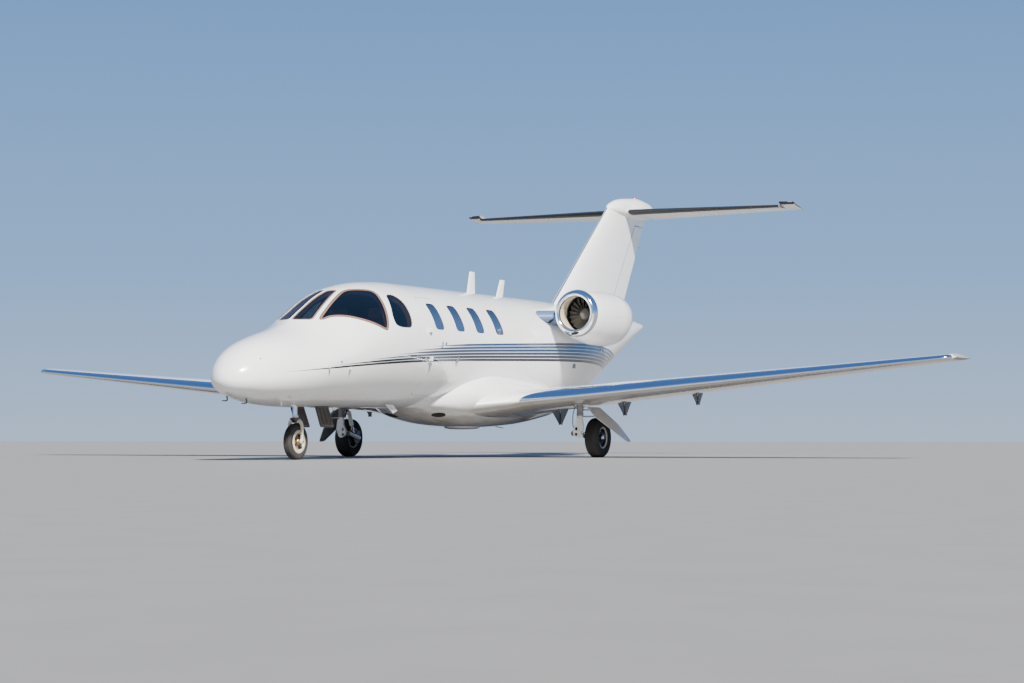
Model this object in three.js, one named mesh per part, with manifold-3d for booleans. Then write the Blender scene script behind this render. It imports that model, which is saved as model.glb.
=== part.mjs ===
// A light twin-engine business jet, parked on its landing gear with its door closed.
// Millimetres. +X points to the nose, +Y to the left wing tip and +Z up. The origin is on the ground,
// under the middle of the length and of the span.
// Places along the fuselage are stations: millimetres aft of the nose tip.
import * as THREE from "three";
import { mergeVertices } from "three/addons/utils/BufferGeometryUtils.js";
import Module from "manifold-3d";

const wasm = await Module();
wasm.setup();

// Driving dimensions
const LENGTH = 12980;
const NOSE_X = LENGTH / 2;
const TOUCH = 0.3; // gap between pieces that sit on each other
const CLEAR = 7; // gap round pieces that move
const WALL = 75; // thickness of the cabin wall, skin to lining
const TAIL_WALL = 30; // thickness of the unlined tail: skin and frames
const HULL_SEGMENTS = 28;
const LINING_SEGMENTS = 16;
const NOSE_JOINT = 1300; // station where the nose cone meets the cockpit
const COCKPIT_JOINT = 3300; // station where the cockpit meets the cabin
const CABIN_JOINT = 6700; // station where the cabin meets the tail
const FLOOR_TOP = 930;
const FLOOR_THICK = 30;

const WHITE = { color: 0xf2f3f5, roughness: 0.18, metalness: 0.0 };
const DARK_METAL = { color: 0x55585c, roughness: 0.4, metalness: 0.9 };
const STEEL = { color: 0x9a9da2, roughness: 0.35, metalness: 1.0 };
const GLASS = { color: 0x2c3a50, roughness: 0.05, metalness: 0.0 };
const RUBBER = { color: 0x1c1c1e, roughness: 0.85, metalness: 0.0 };
const CREAM = { color: 0xd9d3c0, roughness: 0.5, metalness: 0.0 };
const LEATHER = { color: 0xb49a7c, roughness: 0.6, metalness: 0.0 };
const BLACK = { color: 0x1e2023, roughness: 0.7, metalness: 0.0 };
const CARPET = { color: 0x6d6459, roughness: 0.95, metalness: 0.0 };

// Fuselage sections. Each is an oval: an upper half and a lower half that meet at the widest level.
// crown is the exponent of the upper half: 2 is an ellipse, less is more pointed.
// station, half breadth, level of the widest place, top, bottom, crown
const FUSELAGE = [
  [0, 0, 960, 960, 960, 2.1],
  [100, 225, 965, 1170, 820, 2.1],
  [250, 350, 980, 1295, 760, 2.1],
  [500, 475, 1000, 1420, 700, 2.1],
  [800, 565, 1040, 1515, 665, 2.0],
  [1120, 630, 1100, 1600, 648, 1.8],
  [1380, 675, 1170, 1690, 643, 1.65],
  [1690, 715, 1250, 1855, 640, 1.58],
  [2070, 765, 1340, 2045, 645, 1.72],
  [2500, 800, 1420, 2185, 650, 1.95],
  [3000, 820, 1475, 2270, 655, 2.0],
  [3600, 825, 1485, 2305, 660, 2.0],
  [8100, 825, 1485, 2310, 660, 2.0],
  [8600, 795, 1520, 2300, 720, 2.0],
  [9200, 715, 1600, 2285, 890, 2.0],
  [9900, 580, 1710, 2270, 1160, 2.0],
  [10700, 410, 1850, 2250, 1460, 2.0],
  [11550, 230, 1990, 2210, 1790, 2.0],
  [12250, 70, 2090, 2140, 2040, 2.0],
];
const HULL_STATIONS = [4, 35, ...FUSELAGE.slice(1).map(([station]) => station)];

// Belly fairing sections, of the same kind as the fuselage's, with one exponent.
// station, half breadth, level of the widest place, top, bottom
const FAIRING = [
  [4250, 380, 740, 880, 643],
  [4500, 560, 770, 1010, 585],
  [4910, 790, 800, 1160, 500],
  [5500, 900, 800, 1250, 435],
  [6100, 930, 800, 1200, 415],
  [6550, 930, 800, 1160, 430],
  [7380, 850, 800, 1080, 515],
  [7900, 640, 780, 960, 590],
  [8300, 380, 750, 860, 650],
];
const FAIRING_EXPONENT = 2.5;

// Wing sections at breadth y: leading edge station, its height, chord, thickness over chord.
const WING = [
  [600, 4800, 680, 2961, 0.12],
  [1250, 5220, 765, 2420, 0.13],
  [3900, 5420, 998, 1727, 0.125],
  [7050, 5640, 1278, 921, 0.105],
];
const WING_TIP = [
  [7090, 5690, 1284, 850, 0.1],
  [7130, 5830, 1290, 640, 0.07],
];

// Stabilizer sections at breadth y, in the same columns.
const STABILIZER = [
  [0, 11460, 3925, 1020, 0.1],
  [2860, 11690, 3925, 455, 0.09],
  [2895, 11760, 3925, 360, 0.05],
];

// Fin sections at height z: leading edge station, breadth offset (none), chord, thickness over chord.
const FIN = [
  [2050, 8651, 0, 2717, 0.1],
  [3900, 10937, 0, 1587, 0.1],
];

// Fairing where fin and stabilizer cross: station, half breadth, mid height, top, bottom.
const BULLET = [
  [10930, 25, 3925, 3945, 3905],
  [11160, 85, 3935, 4025, 3865],
  [11440, 125, 3940, 4105, 3835],
  [11850, 145, 3950, 4170, 3815],
  [12110, 140, 3960, 4190, 3820],
  [12560, 95, 3990, 4160, 3870],
  [12980, 12, 4035, 4050, 4020],
];

// Engine nacelle, round an axis at NACELLE_Y and NACELLE_Z. Duct radius is the inner wall.
// station, half breadth, up, down, duct radius
const NACELLE_Y = 1200;
const NACELLE_Z = 2050;
const NACELLE = [
  [7150, 283, 283, 283, 262],
  [7165, 303, 303, 303, 246],
  [7210, 326, 326, 330, 236],
  [7300, 348, 344, 362, 238],
  [7450, 365, 356, 398, 264],
  [7800, 378, 364, 440, 268],
  [8150, 374, 356, 446, 268],
  [8400, 345, 330, 412, 262],
  [8600, 280, 275, 325, 238],
  [8780, 212, 212, 222, 190],
];
const FAN_STATION = 7500;
const FAN_RADIUS = 255;
const FAN_BLADES = 14;
const SPINNER_TIP = 7420;
const CORE_FRONT = 7640;
const CORE_RADIUS = 195;

// Control surfaces. Each end: place along the span, hinge station, middle level, nose radius.
// For the rudder the span runs up and the level is the breadth.
const AILERON = [
  [3925, 6742, 1000, 41],
  [6480, 6410, 1227, 24],
];
const FLAP = [
  [965, 7060, 740, 60],
  [3896, 6705, 998, 41],
];
const ELEVATOR = [
  [200, 12140, 3925, 34],
  [2860, 12000, 3925, 12],
];
const RUDDER = [
  [2460, 11057, 0, 62],
  [3720, 12000, 0, 46],
];
const RUDDER_END_GAP = 22; // its ends rise and fall as it turns on the swept line
const FLAP_END_GAP = 31; // it moves outboard as it goes down, as its pivot line slopes
const HORN_GAP_Y = 2650; // the elevator's balance horn starts outboard of this
const BEACON = { station: 12100, base: 4150, top: 4232, radius: 30 };
const FRONT_ANTENNA = { station: 6160, height: 330, chord: 190 };
const REAR_ANTENNA = { station: 7080, height: 270, chord: 160 };
const ELEVATOR_DROOP = 10; // degrees, trailing edge down, as it hangs when parked
const FLAP_PIVOT = [
  [930, 7130, 462],
  [3380, 6850, 757],
]; // breadth, station, height of the flap's hinge line under the wing
const FLAP_BRACKETS = [0.03, 0.46, 0.93]; // places along that line
const BRACKET_THICK = 16;

// Cabin windows and door, in the unrolled skin: station, and degrees above the widest level.
const WINDOW_STATIONS = [3880, 4460, 5030, 5610];
const WINDOW_HALF = 122;
const WINDOW_ANGLES = [13.7, 41.5];
const WINDOW_CORNER = 70;
const DOOR = { front: 3580, back: 4180, low: -52.6, high: 48.5, corner: 110 };
const DOOR_LEAN = 0.6; // how far the aft edge slopes forward for each millimetre inwards
const DOOR_AXIS = { station: 3566, y: 842 };
const UNROLL = 14.4; // millimetres of skin for a degree
const PILOT_WINDOW = [
  [1625, 60],
  [2420, 75.8],
  [2680, 67.2],
  [2830, 60],
  [2595, 19],
  [2515, 13.5],
  [1951, 45.6],
  [1790, 54],
  [1680, 55.5],
];
const REAR_WINDOW = [
  [2935, 52.4],
  [3110, 51.8],
  [3205, 42],
  [3160, 14],
  [2745, 15.5],
  [2735, 27],
];
const WINDSHIELD = [
  [1445, 87.4],
  [1475, 76],
  [1570, 63.5],
  [2365, 78.8],
  [2310, 88.2],
];
const PANE_INSET = 6;
const PANE_THICK = 12;

// Landing gear
const MAIN = { station: 6250, y: 1978, radius: 272, width: 197, rim: 140 };
const NOSE = { station: 1600, y: 0, radius: 223.5, width: 112, rim: 112 };
const AXLE = 26;
const NOSE_AXLE = 17;
const WHEEL_SEGMENTS = 24;
const MAIN_LEG = { station: 5880, y: 1880, radius: 39, knuckle: 330 };
const TRUNNION = { level: 740, radius: 40, half: 150 };
const MAIN_DOOR = { y: 1990, level: 690, slope: 46 };
const NOSE_LEG = { station: 1585, radius: 45, bottom: 520 };
const NOSE_BAY = { front: 1450, back: 2110, half: 165, top: 800, wall: 20 };

const radians = THREE.MathUtils.degToRad;
const lerp = THREE.MathUtils.lerp;
const vector = (x, y, z) => new THREE.Vector3(x, y, z);
const at = (station, y, z) => vector(NOSE_X - station, y, z);

// A closed geometry as a solid: shared points merged, empty triangles dropped, faces turned outwards.
function solidOf(geometry) {
  const bare = new THREE.BufferGeometry();
  bare.setAttribute("position", geometry.getAttribute("position"));
  bare.setIndex(geometry.index);
  const merged = mergeVertices(bare, 1e-3);
  const vertProperties = merged.attributes.position.array;
  const point = (index) => vector(...vertProperties.slice(3 * index, 3 * index + 3));
  const faces = [];
  let volume = 0;
  for (let i = 0; i < merged.index.count; i += 3) {
    const [a, b, c] = [0, 1, 2].map((k) => merged.index.getX(i + k));
    if (a === b || b === c || c === a) continue;
    volume += point(a).dot(point(b).cross(point(c)));
    faces.push([a, b, c]);
  }
  const triVerts = new Uint32Array(faces.flatMap(([a, b, c]) => (volume > 0 ? [a, b, c] : [a, c, b])));
  return new wasm.Manifold(new wasm.Mesh({ numProp: 3, vertProperties, triVerts }));
}

function geometryOf(solid) {
  const mesh = solid.getMesh();
  const geometry = new THREE.BufferGeometry();
  geometry.setAttribute("position", new THREE.BufferAttribute(mesh.vertProperties, 3));
  geometry.setIndex(new THREE.BufferAttribute(mesh.triVerts, 1));
  return geometry;
}

const joined = (solids) => solids.reduce((sum, solid) => sum.add(solid));

// A skin through rings of equally many points, closed at each end by a fan to its tip or middle.
function loft(rings, tips = []) {
  const count = rings[0].length;
  const points = rings.flat();
  const faces = [];
  for (let i = 0; i + 1 < rings.length; i += 1) {
    for (let j = 0; j < count; j += 1) {
      const a = i * count + j;
      const b = i * count + ((j + 1) % count);
      faces.push([a, b, b + count], [a, b + count, a + count]);
    }
  }
  [rings[0], rings.at(-1)].forEach((ring, end) => {
    const sum = ring.reduce((total, point) => total.add(point), vector(0, 0, 0));
    const first = end * (rings.length - 1) * count;
    points.push(tips[end] ?? sum.divideScalar(count));
    for (let j = 0; j < count; j += 1) {
      const pair = [first + j, first + ((j + 1) % count)];
      faces.push([...(end ? pair : pair.reverse()), points.length - 1]);
    }
  });
  const geometry = new THREE.BufferGeometry().setFromPoints(points);
  return solidOf(geometry.setIndex(faces.flat()));
}

// A smooth curve through a column of a table, with no overshoot between its rows.
function alongTable(table, column, place, warp = (value) => value) {
  const x = table.map((row) => warp(row[0]));
  const y = table.map((row) => row[column]);
  const slope = x.slice(1).map((value, i) => (y[i + 1] - y[i]) / (value - x[i]));
  const tangent = y.map((value, i) => {
    if (i === 0) return slope[0];
    if (i === y.length - 1) return slope[i - 1];
    if (slope[i - 1] * slope[i] <= 0) return 0;
    const before = x[i] - x[i - 1];
    const after = x[i + 1] - x[i];
    const [w1, w2] = [2 * after + before, after + 2 * before];
    return (w1 + w2) / (w1 / slope[i - 1] + w2 / slope[i]);
  });
  const u = warp(place);
  const found = x.findIndex((value) => value > u);
  const i = found < 0 ? x.length - 2 : Math.max(found - 1, 0);
  const width = x[i + 1] - x[i];
  const t = (u - x[i]) / width;
  const start = y[i] * (1 + 2 * t) * (1 - t) ** 2 + tangent[i] * width * t * (1 - t) ** 2;
  return start + y[i + 1] * t * t * (3 - 2 * t) + tangent[i + 1] * width * t * t * (t - 1);
}

const signedPower = (value, power) => Math.sign(value) * Math.abs(value) ** power;

// The point of the fuselage skin at a station and an angle from the left side, inset along the section.
function hullPoint(station, degrees, inset = 0) {
  const [half, middle, top, bottom, crown] = [1, 2, 3, 4, 5].map((column) =>
    alongTable(FUSELAGE, column, station, Math.sqrt));
  const angle = radians(degrees);
  const power = Math.sin(angle) > 0 ? 2 / crown : 1;
  const reach = Math.sin(angle) > 0 ? top - middle : middle - bottom;
  const y = Math.max(half - inset, 1) * signedPower(Math.cos(angle), power);
  const z = middle + Math.max(reach - inset, 1) * signedPower(Math.sin(angle), power);
  return at(station, y, z);
}

const ringAngles = (count) => Array.from({ length: count }, (_, i) => (360 * i) / count);

function hullSolid(from, to, inset = 0) {
  const between = HULL_STATIONS.filter((station) => station > from + 1 && station < to - 1);
  const count = inset < TAIL_WALL ? HULL_SEGMENTS : LINING_SEGMENTS;
  const rings = [from, ...between, to].map((station) =>
    ringAngles(count).map((degrees) => hullPoint(station, degrees, inset)));
  return loft(rings, from < 5 ? [at(0, 0, 960)] : []);
}

// A round or oval body along the fuselage from rows of station, half breadth, middle, top, bottom.
function ovalSolid(table, { y = 0, grow = 0, exponent = 2, segments = 24 }) {
  const rings = table.map(([station, half, middle, top, bottom]) =>
    ringAngles(segments).map((degrees) => {
      const c = signedPower(Math.cos(radians(degrees)), 2 / exponent);
      const s = signedPower(Math.sin(radians(degrees)), 2 / exponent);
      const reach = s > 0 ? top - middle : middle - bottom;
      return at(station, y + (half + grow) * c, middle + (reach + grow) * s);
    }));
  return loft(rings);
}

// Half thickness of a wing section at a fraction of its chord.
function halfThickness(fraction, ratio) {
  const root = 0.2969 * Math.sqrt(fraction) - 0.126 * fraction;
  return 5 * ratio * (root - 0.3516 * fraction ** 2 + 0.2843 * fraction ** 3 - 0.1036 * fraction ** 4);
}

const FOIL_FRACTIONS = [0, 0.012, 0.05, 0.12, 0.25, 0.42, 0.6, 0.8, 1];
const UPPER_SHARE = 1.12;
const LOWER_SHARE = 0.88;
const TRAILING_EDGE = 3; // half of its thickness

// A lifting surface from rows of span, leading edge, level, chord and thickness ratio.
function foilSolid(table, place, shares = [UPPER_SHARE, LOWER_SHARE]) {
  const rings = table.map(([span, lead, level, chord, ratio]) => {
    const point = (fraction, share) => {
      const half = halfThickness(fraction, ratio) * chord + TRAILING_EDGE * fraction;
      return place(span, lead + fraction * chord, level + share * half);
    };
    const upper = FOIL_FRACTIONS.map((fraction) => point(fraction, shares[0]));
    const lower = FOIL_FRACTIONS.slice(1).map((fraction) => point(fraction, -shares[1]));
    return [...upper, ...lower.reverse()];
  });
  return loft(rings);
}

const flatwise = (side) => (span, station, level) => at(station, side * span, level);
const upright = (span, station, level) => at(station, level, span);

// The space of a control surface: a round nose on the hinge line, and all that lies aft of it.
// grow widens the nose and longer the ends, for the hollow that the fixed part keeps clear.
// On a swept hinge line the nose is longer in the section, so that it is round about the line itself.
function controlSpace(ends, place, grow = 0, longer = grow) {
  const BEYOND = 260;
  const NOSE_STEPS = 6;
  const run = ends[1][0] - ends[0][0];
  const sweep = Math.hypot(1, (ends[1][1] - ends[0][1]) / run);
  const extended = [-longer / run, 1 + longer / run].map((share) =>
    ends[0].map((value, column) => lerp(value, ends[1][column], share)));
  return loft(extended.map(([span, hinge, level, radius]) => {
    const reach = radius + grow;
    const lip = Math.sqrt(reach ** 2 - radius ** 2);
    const start = Math.atan2(radius, -lip);
    const edge = hinge - sweep * lip;
    const outline = [[hinge + 1000, level + BEYOND], [edge, level + BEYOND]];
    for (let i = 0; i <= NOSE_STEPS; i += 1) {
      const angle = lerp(start, 2 * Math.PI - start, i / NOSE_STEPS);
      outline.push([hinge + sweep * reach * Math.cos(angle), level + reach * Math.sin(angle)]);
    }
    outline.push([edge, level - BEYOND], [hinge + 1000, level - BEYOND]);
    return outline.map(([station, height]) => place(span, station, height));
  }));
}

// The turned frame at a point of a hinge line: z along the line, x towards the nose, y across.
function hingeFrame(from, to, share) {
  const along = to.clone().sub(from).normalize();
  const across = along.clone().cross(vector(1, 0, 0)).normalize();
  const forward = across.clone().cross(along);
  const frame = new THREE.Matrix4().makeBasis(forward, across, along);
  return frame.setPosition(from.clone().lerp(to, share));
}

function plate(outline, thick, radius = 0) {
  const shape = roundedShape(outline, radius);
  const geometry = new THREE.ExtrudeGeometry(shape, { depth: thick, bevelEnabled: false, curveSegments: 3 });
  return geometry.translate(0, 0, -thick / 2);
}

// A shape whose corners are rounded by up to the given length of their sides.
function roundedShape(corners, radius) {
  const shape = new THREE.Shape();
  corners.forEach(([x, y], i) => {
    const corner = new THREE.Vector2(x, y);
    const [before, after] = [corners.at(i - 1), corners[(i + 1) % corners.length]].map(([u, v]) => {
      const side = new THREE.Vector2(u, v).sub(corner);
      return corner.clone().add(side.setLength(Math.min(radius, side.length() / 2.2)));
    });
    if (i) shape.lineTo(before.x, before.y);
    else shape.moveTo(before.x, before.y);
    if (radius) shape.quadraticCurveTo(corner.x, corner.y, after.x, after.y);
  });
  return shape;
}

// A cylinder between two points.
function rod(from, to, radius, sides = 12) {
  const length = from.distanceTo(to);
  const geometry = new THREE.CylinderGeometry(radius, radius, length, sides);
  const turn = new THREE.Quaternion().setFromUnitVectors(vector(0, 1, 0), to.clone().sub(from).normalize());
  geometry.applyQuaternion(turn);
  const middle = from.clone().lerp(to, 0.5);
  return solidOf(geometry.translate(middle.x, middle.y, middle.z));
}

function box(from, to) {
  const [low, high] = [from.clone().min(to), from.clone().max(to)];
  const size = high.clone().sub(low);
  const geometry = new THREE.BoxGeometry(size.x, size.y, size.z);
  const middle = low.add(high).divideScalar(2);
  return solidOf(geometry.translate(middle.x, middle.y, middle.z));
}

// A turned solid round an axis along Y, from points of radius and distance along +Y.
function turnedAcross(profile, station, y, z, segments) {
  const points = profile.map(([radius, along]) => new THREE.Vector2(radius, along));
  const geometry = new THREE.LatheGeometry(points, segments);
  return solidOf(geometry.translate(NOSE_X - station, y, z));
}

// A turned solid round an axis along the fuselage, from points of radius and station.
function turnedAlong(profile, y, z, segments) {
  const points = profile.map(([radius, station]) => new THREE.Vector2(radius, NOSE_X - station));
  const geometry = new THREE.LatheGeometry(points, segments).rotateZ(-Math.PI / 2);
  return solidOf(geometry.translate(0, y, z));
}

// Openings in the skin: a solid between an outline outside the skin and the same outline inside it.
// The outline lies in the unrolled skin, and grow moves it outwards there.
function skinCutter(outline, { grow = 0, corner = 0, side = 1, lean = 0, steps = 2 }) {
  const OUTSIDE = -40;
  const INSIDE = WALL + 40;
  const STEP_LIMIT = 420;
  const flat = outline.map(([station, degrees]) => [station, degrees * UNROLL]);
  const shape = corner ? roundedShape(flat, corner) : null;
  const rounded = shape ? shape.getPoints(steps) : flat.map(([x, y]) => new THREE.Vector2(x, y));
  if (rounded[0].distanceTo(rounded.at(-1)) < 0.01) rounded.pop();
  const turn = Math.sign(THREE.ShapeUtils.area(rounded));
  const grown = rounded.map((point, i) => {
    const before = point.clone().sub(rounded.at(i - 1)).normalize();
    const after = rounded[(i + 1) % rounded.length].clone().sub(point).normalize();
    const normal = before.add(after).normalize();
    const spread = Math.max(normal.dot(after), 0.4);
    return point.clone().add(new THREE.Vector2(normal.y, -normal.x).multiplyScalar((turn * grow) / spread));
  });
  const dense = grown.flatMap((point, i) => {
    const next = grown[(i + 1) % grown.length];
    const parts = Math.ceil(point.distanceTo(next) / STEP_LIMIT);
    return Array.from({ length: parts }, (_, k) => point.clone().lerp(next, k / parts));
  });
  const bounds = new THREE.Box2().setFromPoints(dense);
  const centre = bounds.getCenter(new THREE.Vector2());
  const reach = bounds.getSize(new THREE.Vector2()).x / 2;
  const onSkin = (point, inset) => {
    const aft = Math.max((point.x - centre.x) / reach, 0);
    const place = hullPoint(point.x - lean * inset * Math.min(2 * aft, 1), point.y / UNROLL, inset);
    place.y *= side;
    return place;
  };
  const rings = [OUTSIDE, INSIDE].map((inset) => dense.map((point) => onSkin(point, inset)));
  return loft(rings, [onSkin(centre, -500), onSkin(centre, 420)]);
}

// A solid carried by a matrix, such as a mirror image or a turn about a hinge.
const moved = (solid, matrix) => solidOf(geometryOf(solid).applyMatrix4(matrix));
const MIRROR = new THREE.Matrix4().makeScale(1, -1, 1);
const sided = (solid, side) => (side > 0 ? solid : moved(solid, MIRROR));

const jet = new THREE.Group();

function addPart(name, solid, finish) {
  const mesh = new THREE.Mesh(geometryOf(solid), new THREE.MeshStandardMaterial(finish));
  mesh.name = name;
  jet.add(mesh);
}

const SIDES = [["left", 1], ["right", -1]];

const EDGE_IN = 100; // how far the hollow runs past an open end
const fairing = (grow) => ovalSolid(FAIRING, { grow, exponent: FAIRING_EXPONENT, segments: 20 });

// The space that pieces seated on the cabin's and the tail's skin keep clear of.
const skinSpace = () =>
  hullSolid(COCKPIT_JOINT, CABIN_JOINT, -TOUCH).add(hullSolid(CABIN_JOINT, 12250, -TOUCH));

// A blade antenna that stands on the skin.
function addAntenna(name, { station, height, chord }) {
  const root = alongTable(FUSELAGE, 3, station, Math.sqrt) - 20;
  const profile = [[0, 0], [-chord, 0], [-chord * 1.02, height], [-chord * 0.55, height]];
  const blade = new THREE.ExtrudeGeometry(roundedShape(profile, 12), { depth: 14, bevelEnabled: false });
  blade.rotateX(Math.PI / 2).translate(NOSE_X - station, 7, root);
  addPart(name, solidOf(blade).subtract(skinSpace()), WHITE);
}

const doorOutline = [
  [DOOR.front, DOOR.low],
  [DOOR.back, DOOR.low],
  [DOOR.back, DOOR.high],
  [DOOR.front, DOOR.high],
];
const doorSpace = (grow) => skinCutter(doorOutline, { grow, corner: DOOR.corner, lean: DOOR_LEAN });

function windowOutline(station) {
  const [low, high] = WINDOW_ANGLES;
  const [front, back] = [station - WINDOW_HALF, station + WINDOW_HALF];
  return [[front, low], [back, low], [back, high], [front, high]];
}

// Every pane: name, outline, side, corner rounding and steps of each corner.
const PANES = SIDES.flatMap(([label, side]) => [
  [`${label}_windshield`, WINDSHIELD, side, 25, 1],
  [`${label}_pilot_window`, PILOT_WINDOW, side, 30, 1],
  [`${label}_cockpit_rear_window`, REAR_WINDOW, side, 50, 1],
  ...WINDOW_STATIONS.map((station, i) =>
    [`${label}_cabin_window_${i + 1}`, windowOutline(station), side, WINDOW_CORNER, 2]),
]);
const paneCut = ([, outline, side, corner, steps], grow) =>
  skinCutter(outline, { grow, corner, side, steps });
const inDoor = ([name]) => name === "left_cabin_window_1";

function addFuselage() {
  addPart("nose_cone", hullSolid(HULL_STATIONS[0], NOSE_JOINT - TOUCH), WHITE);

  const hollow = hullSolid(NOSE_JOINT - EDGE_IN, CABIN_JOINT - WALL, WALL);
  const cuts = joined(PANES.filter((pane) => !inDoor(pane)).map((pane) => paneCut(pane, 0)));
  const cockpit = hullSolid(NOSE_JOINT, COCKPIT_JOINT - TOUCH).subtract(hollow).subtract(cuts);
  addPart("cockpit_shell", cockpit.add(noseBay(0)).subtract(noseBay(NOSE_BAY.wall)), WHITE);

  const cabin = hullSolid(COCKPIT_JOINT, CABIN_JOINT - TOUCH);
  const shell = cabin.subtract(hollow).subtract(cuts);
  const doorway = doorSpace(CLEAR);
  const hinges = doorHinges("frame");
  addPart("cabin_shell", joined([shell.subtract(doorway), hinges]), WHITE);

  const doorPane = paneCut(PANES.find(inDoor), 0);
  const door = cabin.subtract(hollow).intersect(doorSpace(0)).subtract(doorPane);
  addPart("cabin_door", joined([door, doorHinges("door")]), WHITE);

  const glassLayer = hullSolid(NOSE_JOINT + 30, CABIN_JOINT - 100, PANE_INSET)
    .subtract(hullSolid(NOSE_JOINT, CABIN_JOINT, PANE_INSET + PANE_THICK));
  PANES.forEach((pane) => addPart(pane[0], glassLayer.intersect(paneCut(pane, -2 * TOUCH)), GLASS));
}

// Two hinges for the door, each a lug on the frame and one on the door, face to face on one upright axis.
function doorHinges(owner) {
  const HINGE_LEVELS = [1290, 1660];
  const LUG_THICK = 26;
  const LUG_RADIUS = 15;
  const onFrame = owner === "frame";
  const { station, y } = DOOR_AXIS;
  const [reach, root] = onFrame ? [3510, 3550] : [3650, 3595];
  return joined(HINGE_LEVELS.map((level) => {
    const low = onFrame ? level : level + LUG_THICK + TOUCH;
    const high = low + LUG_THICK;
    return joined([
      rod(at(station, y, low), at(station, y, high), LUG_RADIUS, 16),
      box(at(station, y - 22, low), at(reach, y, high)),
      box(at(root, y - 75, low), at(reach, y - 2, high)),
    ]);
  }));
}

const NACELLE_SEGMENTS = 20;

function nacelleRings(grow) {
  return NACELLE.map(([station, half, up, down]) =>
    ringAngles(NACELLE_SEGMENTS).map((degrees) => {
      const [c, s] = [Math.cos(radians(degrees)), Math.sin(radians(degrees))];
      return at(station, NACELLE_Y + (half + grow) * c, NACELLE_Z + ((s > 0 ? up : down) + grow) * s);
    }));
}

function ductSolid(inset) {
  const first = NACELLE[0];
  const last = NACELLE.at(-1);
  const wall = NACELLE.map((row) => [row[0], row[4]]);
  const rows = [[first[0] - 30, first[4] + 20], ...wall, [last[0] + 30, last[4]]];
  return loft(rows.map(([station, radius]) =>
    ringAngles(NACELLE_SEGMENTS).map((degrees) => {
      const [c, s] = [Math.cos(radians(degrees)), Math.sin(radians(degrees))];
      return at(station, NACELLE_Y + (radius - inset) * c, NACELLE_Z + (radius - inset) * s);
    })));
}

// The stub that carries the nacelle, from the fuselage skin to the nacelle.
const PYLON = [
  [460, 6682, 1997, 1778, 0.132],
  [930, 7330, 2010, 1130, 0.17],
];

function addTail() {
  const tail = hullSolid(CABIN_JOINT, 12250);
  const hollow = hullSolid(CABIN_JOINT - EDGE_IN, 11300, TAIL_WALL);
  addPart("tail_fuselage", tail.subtract(hollow), WHITE);

  const pylon = foilSolid(PYLON, flatwise(1), [1, 1]).subtract(loft(nacelleRings(TOUCH)));
  SIDES.forEach(([label, side]) => addPart(`${label}_pylon`, sided(pylon, side).subtract(skinSpace()), WHITE));
}

function addEngines() {
  const body = loft(nacelleRings(0)).subtract(ductSolid(0));
  const shaftRadius = 38;
  const core = turnedAlong([[0, CORE_FRONT], [CORE_RADIUS, CORE_FRONT + 40], [CORE_RADIUS, 8300],
    [120, 8560], [0, 8700]], NACELLE_Y, NACELLE_Z, 20);
  const struts = joined([0, 90, 180, 270].map((degrees) => {
    const arm = new THREE.BoxGeometry(220, 24, 320).translate(0, 0, 250).rotateX(radians(degrees + 45));
    return solidOf(arm.translate(NOSE_X - 7900, NACELLE_Y, NACELLE_Z));
  }));
  const engine = joined([core, struts]).intersect(ductSolid(TOUCH));
  const spinner = turnedAlong([[0, SPINNER_TIP], [38, SPINNER_TIP + 12], [66, SPINNER_TIP + 45],
    [82, FAN_STATION + 20], [82, FAN_STATION + 70], [shaftRadius, FAN_STATION + 71],
    [shaftRadius, CORE_FRONT - TOUCH], [0, CORE_FRONT - TOUCH]], NACELLE_Y, NACELLE_Z, 14);
  const blades = Array.from({ length: FAN_BLADES }, (_, i) => {
    const blade = new THREE.BoxGeometry(52, 7, FAN_RADIUS - 60).rotateZ(radians(38));
    blade.translate(0, 0, (FAN_RADIUS + 60) / 2).rotateX(radians((360 * i) / FAN_BLADES));
    return solidOf(blade.translate(NOSE_X - FAN_STATION - 45, NACELLE_Y, NACELLE_Z));
  });
  const fan = joined([spinner, ...blades]);
  SIDES.forEach(([label, side]) => {
    addPart(`${label}_nacelle`, sided(body, side), WHITE);
    addPart(`${label}_engine`, sided(engine, side), DARK_METAL);
    addPart(`${label}_fan`, sided(fan, side), STEEL);
  });
}

// Hinge plates of a surface on its own hinge line: fixed plates that sit in slots of the moving part.
function hingePlates(ends, place, shares, size) {
  const [from, to] = ends.map(([span, hinge, level]) => place(span, hinge, level));
  const radius = (share) => lerp(ends[0][3], ends[1][3], share);
  const made = (share, outline, thick) =>
    solidOf(plate(outline, thick).applyMatrix4(hingeFrame(from, to, share)));
  const square = (back, front, half) => [[-back, -half], [front, -half], [front, half], [-back, half]];
  return {
    plates: joined(shares.map((share) =>
      made(share, square(radius(share) * 0.5, radius(share) + 60, radius(share) * 0.45), size))),
    slots: joined(shares.map((share) =>
      made(share, square(radius(share) + 4, radius(share) + 60, radius(share) * 3), size + 2 * TOUCH))),
  };
}

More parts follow.
